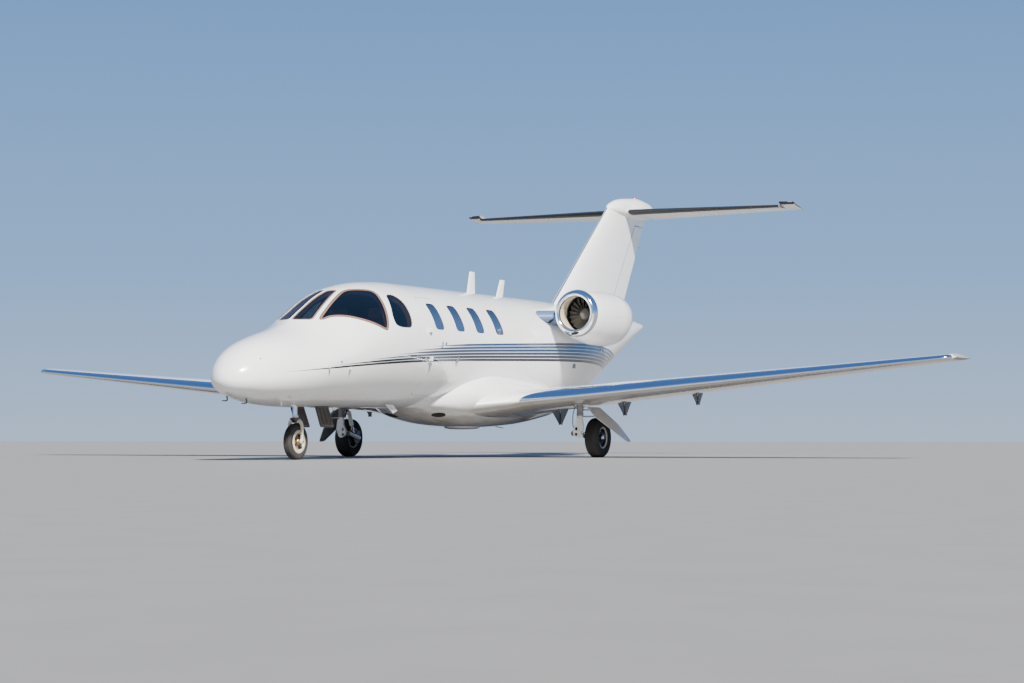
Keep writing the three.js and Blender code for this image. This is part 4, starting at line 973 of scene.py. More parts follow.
def foil_field(rows, upright=False, shares=(1.0, 1.0)):
    """F = (offset from the level / share)^2 - (half thickness at f)^2, with the square carried on in a
    straight line ahead of the leading edge so that the nose has a gradient too."""
    def field(points):
        span = points[:, 2] if upright else np.abs(points[:, 1])
        lead, level, chord, ratio = rows_at(rows, span)
        off = (points[:, 1] if upright else points[:, 2]) - level
        f = (NOSE_X - points[:, 0] - lead) / chord
        half = half_thickness(f, ratio) * chord + TRAILING_EDGE * f
        square = np.where(f > 0, half**2, f * (5 * ratio * 0.2969 * chord) ** 2)
        return (off / np.where(off > 0, *shares)) ** 2 - square
    return field


# %% [markdown]
# ## Control surfaces and their gaps
# A hinged surface has a round nose on its hinge line, in a hollow a few millimetres wider in the fixed
# part. One tool makes both: an outline with an arc round the hinge, carried from end to end. `grow`
# widens the arc for the hollow, and `longer` opens the ends.

# %% Spaces of the control surfaces
AILERON = np.array([[3.925, 6.742, 1.000, .041], [6.48, 6.410, 1.227, .024]])
FLAP = np.array([[.965, 7.060, .740, .060], [3.896, 6.705, .998, .041]])
ELEVATOR = np.array([[.20, 12.140, 3.925, .034], [2.86, 12.000, 3.925, .012]])
RUDDER = np.array([[2.46, 11.057, 0, .062], [3.72, 12.000, 0, .046]])


def control_space(ends, lay, grow=0.0, longer=None, beyond=0.26, steps=20):
    """At each end: an arc of radius r + grow about the hinge, open aft, then straight walls up and down;
    in the section the arc is stretched by the sweep, so it is round about the hinge line itself."""
    run = ends[1, 0] - ends[0, 0]
    sweep = math.hypot(1, (ends[1, 1] - ends[0, 1]) / run)
    extra = (grow if longer is None else longer) / run
    rings = []
    for share in (-extra, 1 + extra):
        span, hinge, level, radius = ends[0] + share * (ends[1] - ends[0])
        wide = radius + grow
        lip = math.sqrt(wide**2 - radius**2)
        a = np.linspace(math.atan2(radius, -lip), 2 * math.pi - math.atan2(radius, -lip), steps)
        edge = hinge - sweep * lip
        station = np.concatenate([[hinge + 1, edge], hinge + sweep * wide * np.cos(a), [edge, hinge + 1]])
        height = np.concatenate([[level + beyond] * 2, level + wide * np.sin(a), [level - beyond] * 2])
        rings.append(lay(span, station, height))
    return tube(np.stack(rings))


def cut_foil(name, body, skin, field, finish, nodes, cuts=(), keep=None, turn=None):
    """A foil piece cut to shape: its own surface and its rear edge keep the paint, and the cut faces get
    the cove paint."""
    obj = mesh_object(name, [skin])
    if keep is not None:
        carve(obj, keep, operation="INTERSECT")
    carve(obj, *cuts)
    owner = true_normals(obj, field)
    faces_aft = read(obj.data.polygon_normals, "vector", 3)[:, 0] < -0.9
    finish_faces(obj, [finish, cove_paint], (owner != 0) & ~faces_aft)
    if turn is not None:
        obj.data.transform(turn)
    return settle(obj, name, body, nodes)


print("flap gap", round(FLAP[0, 3] + CLEAR, 3), "m from its hinge line")

# %% [markdown]
# ## Wing paint
# The wing is white with a bare polished leading edge that hot air keeps free of ice; its blue tint is a
# painted reflection of the sky, and a brownish painted shade darkens the underside. The mask is the
# chord fraction, worked out in the shader from the straight lines of leading edge and chord.

# %% Paint for wing, fin and tailplane
LINE_GREY = (0.20, 0.20, 0.21)


def edged_paint(name, span_axis, lead, chord, edge, edge_color, edge_rough, metal=0.0, ends=None, lines=(), ribs=(),
                taper=0.004, below=None):
    """White paint with a leading edge of another finish up to the chord fraction `edge`. lead and chord
    are (value, slope) straight lines along the span. The edge starts and stops at `ends`, and painted
    shade, brownish and streaked, darkens the underside below the line `below`, another (value, slope)."""
    finish = gloss_white(name)
    axes = finish.axes()
    span = abs(axes[span_axis])
    fraction = (NOSE_X - axes[0] - (span * lead[1] + lead[0])) / (span * chord[1] + chord[0])
    tone, fine = finish.noise(1.4, 4.0, 0.55), finish.noise(34.0, 3.0, 0.6)
    color = finish.mix(tone, WHITE_SHADE, WHITE_LIGHT)
    if ends:
        growing = ((span - ends[0]) / taper).unit()
        mask = fraction.below(growing * edge, 0.002) * span.between(*ends, 0.004)
    else:
        mask = fraction.below(edge, 0.002)
    # Painted shade: the underside below the line turns brownish, standing in for the shade under the wing.
    if below:
        under = (axes[2] - span * below[1]).below(below[0], 0.012)
        streaks = finish.noise(3.0, 5.0, 0.6, (0.3, 1.0, 1.0))
        color = finish.mix(under * (0.6 + 0.35 * streaks), color, (0.27, 0.235, 0.19))
        mask = mask * (1.0 - under)
    seams = lines_at(fraction, lines, 0.0014)
    if ribs:
        seams = (lines_at(span, ribs, 0.0025) * fraction.above(edge)).high(seams)
    finish.set("Base Color", finish.mix(mask, finish.mix(seams * 0.5, color, LINE_GREY), edge_color))
    finish.set("Roughness", (0.17 + 0.1 * tone) * (1.0 - mask) + mask * (edge_rough + 0.06 * fine))
    finish.set("Metallic", mask * metal if metal else 0.0).set("Coat Weight", 1.0 - mask)
    finish.bump(fine * 0.02 - seams, 0.001)
    return finish.material


# Painted reflection: the polished leading edge is tinted blue for the sky it reflects; the underside gets painted
# shade.
wing_paint = edged_paint("wing_paint", 1, (5.13, 0.0722), (2.745, -0.2588), 0.085, (0.56, 0.66, 0.80), 0.10, 1.0,
                         ends=(1.28, 7.2), lines=(0.16, 0.60), ribs=(1.9, 2.7, 3.6, 4.6, 5.6, 6.6), taper=0.35,
                         below=(.642, .0885))
fin_paint = edged_paint("fin_paint", 2, (6.118, 1.2357), (3.969, -0.6108), 0.0015, (0.80, 0.84, 0.90), 0.12, 1.0,
                        ends=(2.2, 3.95), lines=(0.30, 0.58), ribs=(2.9, 3.4))
tail_paint = edged_paint("tailplane_paint", 1, (11.46, 0.0804), (1.02, -0.1976), 0.19, (0.012, 0.012, 0.014), 0.42,
                         ends=(0.15, 3.0), lines=(0.42,), ribs=(1.3, 2.1))
# Painted reflection: the pylon's front 40 per cent is dark blue, standing in for the sky its leading edge reflects.
pylon_paint = edged_paint("pylon_paint", 1, (6.707, 0.6702), (1.753, -0.6702), 0.40, (0.075, 0.13, 0.25), 0.45)
print("edge finishes")

# %% [markdown]
# ## Wings, flaps and ailerons
# One whole wing is the stock for five pieces: the fixed wing is what the hollows leave, and flap and
# aileron are what the same tools keep. The wheel well is milled into the underside.

# %% Wing pieces
WING_SHARES, FLAP_END_GAP = (1.12, 0.88), 0.031
tip_spans = 7.05 + 0.08 * np.sin(np.linspace(0, 1.55, 10))
wing_spans = np.unique(np.concatenate([np.linspace(0.6, 7.05, 60), WING[:, 0], tip_spans]))
whole_wing = foil(WING, wing_spans, flat_lay, WING_SHARES)
wing_field = foil_field(WING, shares=WING_SHARES)
wheel_well = [turned([(0.30, 0.0), (0.30, 0.79)], place(6.29, 1.29, 0.0), (0, 0, 1), 72),
              box_space((6.01, 1.30, 0.0), (6.42, 1.83, 0.789)),
              box_space((5.7297, 1.8397, 0.0), (6.0303, 1.9203, 0.7803))]
for label, side in SIDES.items():
    cuts = [control_space(FLAP, flat_lay, CLEAR, FLAP_END_GAP), control_space(AILERON, flat_lay, CLEAR), *wheel_well]
    cut_foil(f"{label}_wing_skin", "airframe", sided(whole_wing, side), wing_field, wing_paint, f"{label}_wing",
             [sided(tool, side) for tool in cuts])
    for name, ends in (("flap", FLAP), ("aileron", AILERON)):
        cut_foil(f"{label}_{name}_skin", f"{label}_{name}", sided(whole_wing, side), wing_field, wing_paint,
                 f"{label}_{name}", keep=sided(control_space(ends, flat_lay), side))
print("wing spans", len(wing_spans))

# %% [markdown]
# ## Fin and rudder, tailplane and elevators
# The fin leans back and carries the tailplane on its tip. The elevators have balance horns outboard and
# hang a few degrees down when nobody holds the yoke, so they are cut level and then turned on the hinge.

# %% Tail surfaces
whole_fin = foil(FIN, np.linspace(2.05, 3.98, 30), upright_lay)
fin_field = foil_field(FIN, upright=True)
cut_foil("fin_skin", "airframe", whole_fin, fin_field, fin_paint, "fin",
         [control_space(RUDDER, upright_lay, CLEAR, 0.022)])
cut_foil("rudder_skin", "rudder", whole_fin, fin_field, fin_paint, "rudder", keep=control_space(RUDDER, upright_lay))

HORN_Y = 2.65
tail_spans = np.concatenate([np.linspace(0, 2.86, 44), 2.86 + 0.035 * np.sin(np.linspace(0.25, 1.55, 8))])
both_halves = foil(np.vstack([STABILIZER[:0:-1] * [-1, 1, 1, 1, 1], STABILIZER]),
                   np.concatenate([-tail_spans[:0:-1], tail_spans]), flat_lay)
tail_field = foil_field(STABILIZER)
horn_box, horn_gap = (box_space((11.0, y, 3.6), (13.0, 3.0, 4.2)) for y in (HORN_Y, HORN_Y - CLEAR))
cuts = [sided(tool, side) for side in SIDES.values()
        for tool in (control_space(ELEVATOR, flat_lay, CLEAR), horn_gap)]
cut_foil("stabilizer_skin", "airframe", both_halves, tail_field, tail_paint, "stabilizer", cuts)

half_span = foil(STABILIZER, tail_spans, flat_lay)
inner, outer = (Vector(flat_lay(*row[:3])) for row in ELEVATOR)
DROOP = 10.0
for label, side in SIDES.items():
    flip = Vector((1, side, 1))
    hinge, swing = inner * flip, Matrix.Rotation(math.radians(-DROOP * side), 4, (outer - inner) * flip)
    turn = Matrix.Translation(hinge) @ swing @ Matrix.Translation(-hinge)
    keep = mesh_object("keep", [sided(control_space(ELEVATOR, flat_lay), side)])
    carve(keep, sided(horn_box, side), operation="UNION")
    cut_foil(f"{label}_elevator_skin", f"{label}_elevator", sided(half_span, side), tail_field, tail_paint,
             f"{label}_elevator", keep=keep, turn=turn)
print("tail surfaces")

# %% [markdown]
# ## The bullet where fin and tailplane cross
# A slender fairing hides the joint. It is rings from a table with smooth columns, and it carries the red
# beacon on its top.

# %% Smooth oval bodies, the bullet and the beacon
def oval_body(table, stations, power=2.0, count=72, round_front=True):
    """Ovals |y / half|^p + |(z - M) / rise|^p = 1 from the table's columns."""
    half, middle, top, bottom = (column[:, None] for column in columns_at(table, stations, round_front))
    a = full_turn(count)
    c, s = signed_power(np.cos(a), 2 / power), signed_power(np.sin(a), 2 / power)
    rise = np.where(s > 0, top - middle, middle - bottom)
    return tube(place(stations[:, None], half * c, middle + rise * s))


BULLET = [[11.00, .004, 3.945, 3.949, 3.941], [11.14, .085, 3.945, 4.045, 3.865], [11.40, .125, 3.945, 4.118, 3.835],
          [11.85, .145, 3.950, 4.170, 3.815], [12.11, .140, 3.960, 4.190, 3.820], [12.56, .095, 3.990, 4.160, 3.870],
          [12.98, .012, 4.035, 4.050, 4.020]]
bullet_stations = 11.00 + 1.98 * np.linspace(0.02, 1, 90) ** 1.5
piece("bullet_fairing", "airframe", [(oval_body(BULLET, bullet_stations), plain_paint)])


def lens(name, color):
    """Coloured lamp glass under a clear coat, a little uneven."""
    finish = Finish(name, color, roughness=0.08, coat_weight=1.0)
    return finish.set("Roughness", 0.06 + 0.08 * finish.noise(20.0)).material


red_lens = lens("red_lens", (0.55, 0.012, 0.015))
rise = np.linspace(0, 1.5, 14)
dome = np.stack([0.030 * np.cos(rise), 0.004 + 0.034 * np.sin(rise)], 1)
socket = [(0.034, -0.03), (0.034, 0.004), (0.031, 0.006)]
piece("tail_beacon", "airframe",
      [(turned(profile, place(12.1, 0, 4.188), (0, 0, 1), 32), finish)
       for profile, finish in ((dome, red_lens), (socket, steel))])
print("bullet", len(bullet_stations), "rings")

# %% [markdown]
# ## Belly fairing
# Under the cabin a fat fairing houses the wing's centre section. Its sections are squarer than ovals,
# and the cabin's own shape is cut out of it so that nothing shows inside.

# %% Belly fairing
FAIRING = np.array([[4.05, .25, .760, .800, .668], [4.25, .38, .740, .880, .643], [4.5, .56, .770, 1.010, .585],
                    [4.91, .79, .800, 1.160, .500], [5.5, .90, .800, 1.250, .435], [6.1, .93, .800, 1.200, .415],
                    [6.55, .93, .800, 1.160, .430], [7.38, .85, .800, 1.080, .515], [7.9, .64, .780, .960, .590],
                    [8.3, .38, .750, .860, .650], [8.6, .20, .760, .830, .712]])
FAIRING_POWER = 2.5


def fairing_field(points):
    """F = (|y| / half)^p + (|z - M| / rise)^p - 1 with the fairing's own columns and p = 2.5."""
    station = np.clip(NOSE_X - points[:, 0], FAIRING[0, 0], FAIRING[-1, 0])
    half, middle, top, bottom = columns_at(FAIRING, station, False)
    rise = np.where(points[:, 2] > middle, top - middle, middle - bottom)
    across, up = np.abs(points[:, 1]) / half, np.abs(points[:, 2] - middle) / rise
    return across ** FAIRING_POWER + up ** FAIRING_POWER - 1


belly = mesh_object("belly", [oval_body(FAIRING, np.linspace(4.05, 8.6, 120), FAIRING_POWER, 140, False)])
carve(belly, tube(hull_rings(np.linspace(3.6, 9.2, 60), 0.004)))
true_normals(belly, fairing_field)
finish_faces(belly, [white_paint("fairing_paint", (5.3, 7.4), under_shade=0.7)])
settle(belly, "belly_fairing_skin", "airframe", "belly_fairing")
keel = [(0.0, 0.386), (0.09, 0.387), (0.17, 0.391), (0.225, 0.400), (0.252, 0.414), (0.262, 0.440), (0.262, 0.47)]
piece("belly_dome", "airframe", [(turned(keel, place(6.0, 0, 0), (0, 0, 1), 96), plain_paint)])
print("fairing faces", len(belly.data.polygons))

# %% [markdown]
# ## Nacelles, fans and engines
# The nacelle is one closed wall: outside from lip to nozzle and back inside through the duct. The lip is
# polished, the first part of the duct is cream, and then come the fan case and the dark fan. Blades are
# twisted grids: chord along one parameter and radius along the other.

# %% Nacelles
AXIS_Y, AXIS_Z, NACELLE_LONG = 1.2, 2.05, 1.63
NACELLE = np.array([  # station, half breadth, up, down, duct radius
    [7.150, .2725, .2725, .2725, .2725], [7.165, .303, .303, .303, .246], [7.210, .326, .326, .330, .236],
    [7.300, .348, .344, .362, .238], [7.450, .365, .356, .398, .264], [7.800, .378, .364, .440, .268],
    [8.150, .374, .356, .446, .268], [8.400, .345, .330, .412, .262], [8.600, .280, .275, .325, .238],
    [8.780, .212, .212, .222, .190]])
nacelle_stations = NACELLE[0, 0] + NACELLE_LONG * np.linspace(0, 1, 110) ** 2
half, up, down, duct = (column[:, None] for column in columns_at(NACELLE, nacelle_stations))
angles = full_turn(112)
c, s = np.cos(angles), np.sin(angles)
shell_rings = place(nacelle_stations[:, None], AXIS_Y + half * c, AXIS_Z + np.where(s > 0, up, down) * s)
duct_rings = place(nacelle_stations[:, None], AXIS_Y + duct * c, AXIS_Z + duct * s)[::-1]
nacelle_skin = tube(np.concatenate([shell_rings, duct_rings[:-1]]), loop=True)
COWL_JOINTS, RIVET_ROWS = (7.46, 8.44), (7.275, 7.435, 7.485, 7.95, 8.415, 8.465)
RIVETS_ROUND, RIVET_PITCH, RIVET_HEAD, BEADS_A_METRE, BEAD_HEAD = 64.0, 0.034, 0.0048, 26.0, 0.0075


def nacelle_paint():
    """White paint with cowl seams and rows of rivet heads, spaced by angle round the engine. A head is
    1 - d / size, with d the distance from the nearest place on the row."""
    finish = gloss_white("nacelle_paint")
    x, y, z = finish.axes()
    station, across, up = NOSE_X - x, abs(y) - AXIS_Y, z - AXIS_Z
    tone, fine = finish.noise(2.0, 4.0, 0.55), finish.noise(36.0, 3.0, 0.6)
    seams = lines_at(up, [-0.04], 0.002) * station.between(*COWL_JOINTS)
    seams = seams.high(lines_at(station, COWL_JOINTS, SKIN_SEAM))
    turn = finish.math("ARCTAN2", up, across) / (2 * math.pi)
    around = abs((turn * RIVETS_ROUND).part() - 0.5) * RIVET_PITCH
    far = [((station - row) ** 2.0 + around ** 2.0) ** 0.5 for row in RIVET_ROWS]
    rivets = highest(1.0 - (distance / RIVET_HEAD).unit() for distance in far)
    along = ((station * BEADS_A_METRE).part() - 0.5) / BEADS_A_METRE
    far = (along ** 2.0 + (up - 0.03) ** 2.0) ** 0.5
    rivets = rivets.high((1.0 - (far / BEAD_HEAD).unit()) * station.between(7.5, 8.4))
    soot = station.above(8.55, 0.35) * tone.above(0.4, 0.4)
    color = finish.mix(tone, WHITE_SHADE, WHITE_LIGHT)
    color = finish.mix(soot * 0.35, color, (0.30, 0.27, 0.24))
    color = finish.mix(seams * 0.6 + rivets * 0.5, color, LINE_GREY)
    finish.set("Base Color", color).set("Roughness", 0.17 + 0.1 * tone)
    finish.bump(fine * 0.02 - seams + rivets * 0.4, 0.001)
    return finish.material


nacelle_finishes = [nacelle_paint(), polished, cream, dark_steel, nozzle_metal]
OUTSIDE, LIP, THROAT, FAN_CASE, NOZZLE = range(len(nacelle_finishes))
pylon = foil(PYLON, np.linspace(0.46, 0.93, 12), flat_lay)
for label, side in SIDES.items():
    cowl = mesh_object("cowl", [sided(nacelle_skin, side)])
    smooth(cowl, 45)
    middle = middles(cowl)
    station = NOSE_X - middle[:, 0]
    radius = np.hypot(np.abs(middle[:, 1]) - AXIS_Y, middle[:, 2] - AXIS_Z)
    inside = radius < np.interp(station, NACELLE[:, 0], (NACELLE[:, 4] + NACELLE[:, 1]) / 2)
    index = np.where(inside, np.where(station < 7.47, THROAT, FAN_CASE), OUTSIDE)
    index[station > 8.665] = NOZZLE
    index[station < np.where(inside, 7.195, 7.245)] = LIP
    finish_faces(cowl, nacelle_finishes, index)
    settle(cowl, f"{label}_nacelle_skin", "airframe", f"{label}_nacelle")
    piece(f"{label}_pylon_skin", "airframe", [(sided(pylon, side), pylon_paint)], f"{label}_pylon")
print("lip radius", NACELLE[0, 1])

# %% Fans and engine cores
FAN_STATION, FAN_TIP, HUB = 7.5, 0.252, 0.078


def blade_grid(turn, count=18, chordwise=9):
    """Blade point: radius r along u; chord c(r) v turned by the twist a(r) = 25 to 58 degrees from the
    axis; thickness 4.5 mm x 4 v (1 - v) each way, on a camber of 12 mm x 4 v (1 - v) at the tip. A
    closed lens section at each radius, turned round the axis."""
    r = np.linspace(HUB - 0.012, FAN_TIP, count)[:, None]
    v = np.concatenate([np.linspace(0, 1, chordwise), np.linspace(1, 0, chordwise)[1:-1]])
    sign = np.concatenate([np.ones(chordwise), -np.ones(chordwise - 2)])
    share = (r - HUB) / (FAN_TIP - HUB)
    chord = 0.062 + 0.026 * np.sin(np.pi * np.clip(share, 0, 1) * 0.8)
    twist = np.radians(25 + 33 * share)
    depth = sign * 0.0045 * 4 * v * (1 - v) + 0.012 * 4 * v * (1 - v) * share
    along = (v - 0.5) * chord
    axial = along * np.cos(twist) + depth * np.sin(twist)
    around = along * np.sin(twist) - depth * np.cos(twist) - 0.02 * share**2
    y = r * np.cos(turn) - around * np.sin(turn)
    z = r * np.sin(turn) + around * np.cos(turn)
    return tube(place(FAN_STATION + 0.05 + axial, AXIS_Y + y, AXIS_Z + z))


blades = [blade_grid(2 * np.pi * k / 20) for k in range(20)]
nose_r = np.linspace(0, 1, 22)
spinner = turned(np.stack([0.088 * np.sqrt(nose_r) ** 1.2 + 0.0005, -0.10 + 0.13 * nose_r], 1),
                 place(7.52, AXIS_Y, AXIS_Z), (-1, 0, 0), 64)
spinner_grey = cloth_like("spinner_grey", (0.30, 0.31, 0.33), (0.20, 0.21, 0.23), 30.0, 0.35, 0.0002)
hub_drum = turned([(0.07, 0), (0.081, 0.004), (0.081, 0.085), (0.07, 0.09), (0.038, 0.091), (0.038, 0.138)],
                  place(7.505, AXIS_Y, AXIS_Z), (-1, 0, 0), 64)
core = turned([(0.05, 0), (0.12, 0.006), (0.165, 0.022), (0.195, 0.06), (0.195, 0.62), (0.17, 0.75), (0.12, 0.90),
               (0.05, 1.02), (0.006, 1.055)], place(7.645, AXIS_Y, AXIS_Z), (-1, 0, 0), 72)


def vane(angle):
    """A thin strut from the core to the duct wall, standing out at the angle."""
    c, s = math.cos(angle), math.sin(angle)
    off = np.array([-.01, -.01, .01, .01])
    root = place([7.80, 8.02, 8.02, 7.80], AXIS_Y + 0.15 * c + off * s, AXIS_Z + 0.15 * s - off * c)
    return slab(root, (0, 0.112 * c, 0.112 * s))


vanes = [vane(angle) for angle in np.radians([45, 135, 225, 315])]
for label, side in SIDES.items():
    piece(f"{label}_fan_rotor", f"{label}_fan",
          [(sided(spinner, side), spinner_grey), (sided(hub_drum, side), dark_steel)]
          + [(sided(b, side), fan_metal) for b in blades], f"{label}_fan", sharp=50)
    piece(f"{label}_engine_core", "airframe",
          [(sided(core, side), nozzle_metal)] + [(sided(v, side), dark_steel) for v in vanes], f"{label}_engine")
print("fan blades", len(blades))

# %% [markdown]
# ## Flap brackets
# Each flap swings on three pairs of flat plates below the wing: one of a pair stays with the wing and
# the other goes with the flap, side by side on the pin. They are outlines in side view with a
# thickness, the shape a machinist would saw from plate.

# %% Flap brackets
FLAP_PIVOT = np.array([[0.93, 7.13, 0.462], [3.38, 6.85, 0.757]])
PLATE_THICK, PLATE_BEND, PIN_OUT = 0.0135, 0.016, 0.0150
bracket_paint = cloth_like("bracket_grey_paint", (0.20, 0.21, 0.225), (0.14, 0.145, 0.155), 12.0, 0.5, 0.0004)
pin_head = [(0.016, 0), (0.019, 0.003), (0.019, 0.010), (0.012, 0.013)]
for label, side in SIDES.items():
    fixed, moving = [], []
    for share in (0.03, 0.46, 0.93):
        y, s, z = FLAP_PIVOT[0] + share * (FLAP_PIVOT[1] - FLAP_PIVOT[0])
        rise, front, lip, back = [a + share * (b - a) for a, b in ((.23, .172), (.34, .24), (.172, .125), (.3, .2))]
        still = [(s - .008, z - .022), (s - front, z + rise), (s - lip, z + rise), (s - .022, z + rise - .032),
                 (s + .018, z + .008)]
        swung = [(s + .008, z - .022), (s - .018, z + .008), (s - .02, z + rise), (s + back, z + rise + .04)]
        for parts, outline, plate_y, way in ((fixed, still, y - 0.0150, -1), (moving, swung, y + 0.0015, 1)):
            plate = side_plate(outline, plate_y, PLATE_THICK, PLATE_BEND)
            pin = turned(pin_head, place(s, y + way * PIN_OUT, z), (0, way, 0), 24)
            parts += [(sided(plate, side), bracket_paint), (sided(pin, side), steel)]
    piece(f"{label}_wing_brackets", "airframe", fixed)
    piece(f"{label}_flap_brackets", f"{label}_flap", moving)
print("bracket pairs", len(fixed) // 2, "a side")

# %% [markdown]
# ## Tyres
# Aircraft tyres are fat, with a plain shoulder and a few straight grooves round the tread. The section
# is a closed loop turned about the axle. The half section is a smooth line through measured points, and
# each groove takes its depth off the radius.

# %% Tyre and rim forms
def tyre(centre, side, radius, rim, width, grooves, groove_wide=0.007, groove_deep=0.0055):
    """Half the section is a monotone cubic along its own length from bead to crown; r loses the groove's
    depth within half its width of its place; the mirror image closes the loop, turned about the axle."""
    h, wall = width / 2, radius - rim
    half = curve([(rim - .004, .66 * h), (rim + .06 * wall, .82 * h), (rim + .20 * wall, .94 * h),
                  (rim + .45 * wall, h), (rim + .68 * wall, .965 * h), (rim + .85 * wall, .84 * h),
                  (rim + .955 * wall, .64 * h), (radius, .36 * h), (radius, 0)], 110)
    off = np.abs(np.abs(half[:, 1:]) - np.abs(grooves))
    share = np.clip((groove_wide / 2 - off) / 0.0016 + 0.5, 0, 1).max(1)
    crown = half[:, 0] > radius - 0.16 * wall
    half[:, 0] -= groove_deep * share * crown
    loop = np.concatenate([half, half[-2::-1] * [1, -1]])
    return turned(loop, centre, (0, side, 0), 96, closed=True)


def round_about(centre, side, profile, closed=False, segments=72):
    """A profile (r, outboard distance) turned about an axle."""
    return turned(profile, centre, (0, side, 0), segments, closed)


def ring_of(count, radius, maker, start=0.0):
    """The maker's forms at equal angles: it is given the offsets (d station, d z)."""
    angles = start + 2 * np.pi * np.arange(count) / count
    return [maker(radius * np.cos(a), radius * np.sin(a)) for a in angles]


MAIN_WHEEL = {"station": 6.25, "y": 1.978, "radius": 0.272, "rim": 0.143, "width": 0.197}
NOSE_WHEEL = {"station": 1.6, "y": 0.0, "radius": 0.2235, "rim": 0.137, "width": 0.112}
# Painted shade: the wheel casting is near black for the shade in the wheel's recessed face; only the flange rings are
# light.
dark_rim = metal("dark_wheel_casting", (0.075, 0.078, 0.085), 0.45, 0.15)
light_ring = cloth_like("wheel_silver_enamel", (0.62, 0.62, 0.60), (0.50, 0.50, 0.48), 20.0, 0.3, 0.0002)
# Painted shade: black discs and slabs stand for the shade inside holes, slots and openings.
hole_shade_black = cloth_like("deep_shadow_black", (0.006, 0.006, 0.007), (0.010, 0.010, 0.010), 20.0, 0.9, 0.0)
# The nose wheel's inner disc is plain brown, darker than the cream face round it.
disc_brown = cloth_like("brown_disc_enamel", (0.20, 0.165, 0.12), (0.12, 0.10, 0.075), 14.0, 0.5, 0.0003)
brass = metal("worn_brass", (0.45, 0.30, 0.12), 0.35, 0.1)
print("tyre sections ready")

# %% Main wheels
wheel_s, wheel_y, wheel_z = (MAIN_WHEEL[key] for key in ("station", "y", "radius"))
casting = [(.012, .064), (.030, .064), (.044, .058), (.052, .036), (.100, .030), (.112, .038), (.124, .056),
           (.132, .066), (.143, .066), (.143, -.066), (.132, -.070), (.122, -.050), (.108, -.015), (.04, -.008),
           (.012, -.008)]
outer_ring = [(.127, .064), (.131, .0745), (.142, .0790), (.1515, .0765), (.153, .066), (.140, .062)]
inner_ring = [(r, -d) for r, d in outer_ring]
cap = [(.004, .084), (.022, .083), (.033, .078), (.038, .066), (.038, .050)]
for label, side in SIDES.items():
    centre = place(wheel_s, side * wheel_y, wheel_z)
    skin = tyre(centre, side, wheel_z, MAIN_WHEEL["rim"], MAIN_WHEEL["width"], (0.0, 0.027))
    piece(f"{label}_main_tyre", f"{label}_wheel", [(skin, rubber)], f"{label}_main_tire", 50)

    def peg(ds, dz, first, last, *size):
        """A rod along the axle at an offset from it, between two distances outboard."""
        return rod(*(centre + np.array([-ds, side * d, dz]) for d in (first, last)), *size)

    bolts = ring_of(8, 0.086, lambda ds, dz: peg(ds, dz, .029, .041, 0.0075, 0.002, 6))
    holes = ring_of(8, 0.070, lambda ds, dz: peg(ds, dz, .0300, .0345, 0.0135, 0.001, 20), 0.39)
    piece(f"{label}_main_wheel_rim", f"{label}_wheel",
          [(round_about(centre, side, casting), dark_rim),
           (round_about(centre, side, outer_ring, True), light_ring),
           (round_about(centre, side, inner_ring, True), light_ring),
           (round_about(centre, side, cap), chrome)]
          + [(bolt, steel) for bolt in bolts] + [(hole, hole_shade_black) for hole in holes], f"{label}_main_rim")
print("main wheels at y", wheel_y)

# %% [markdown]
# ## Main gear
# A trailing link gear: the leg comes straight down from the wing, its forged foot has two big holes,
# and a link runs aft from it to the axle with the shock absorber between them. A tapered door hangs
# outboard from the leg.

# %% Main gear
LEG, FOOT_Z, LINK_Y, DOOR_SLOPE = (5.88, 1.88), 0.33, 1.812, math.radians(46)
foot_ring = flat_ring([(.545, 1.838), (.545, 1.922), (.470, 1.938), (.400, 1.945), (.330, 1.930), (.285, 1.905),
                       (.268, 1.868), (.282, 1.830), (.325, 1.792), (.372, 1.786), (.425, 1.812), (.470, 1.832)],
                      .02, 90)  # (z, y)
foot_holes = [((1.842, .392), .024), ((1.838, .318), .021), ((1.918, .352), .009), ((1.918, .325), .008)]
gear_door = flat_ring([[5.86, 0], [6.29, 0], [6.41, .33], [6.33, .655], [6.19, .66], [5.85, .18]], 0.045, 90)
leg_tube = [(.036, .28), (.041, .30), (.041, .42), (.037, .47), (.037, .575), (.030, .60)]
leg_collar = [(.040, .568), (.0475, .574), (.0475, .60), (.044, .606), (.044, .655), (.049, .66), (.049, .735),
              (.042, .742)]
brake_disc = [(.05, -.012), (.088, -.011), (.093, -.007), (.093, .006), (.088, .010), (.06, .012)]
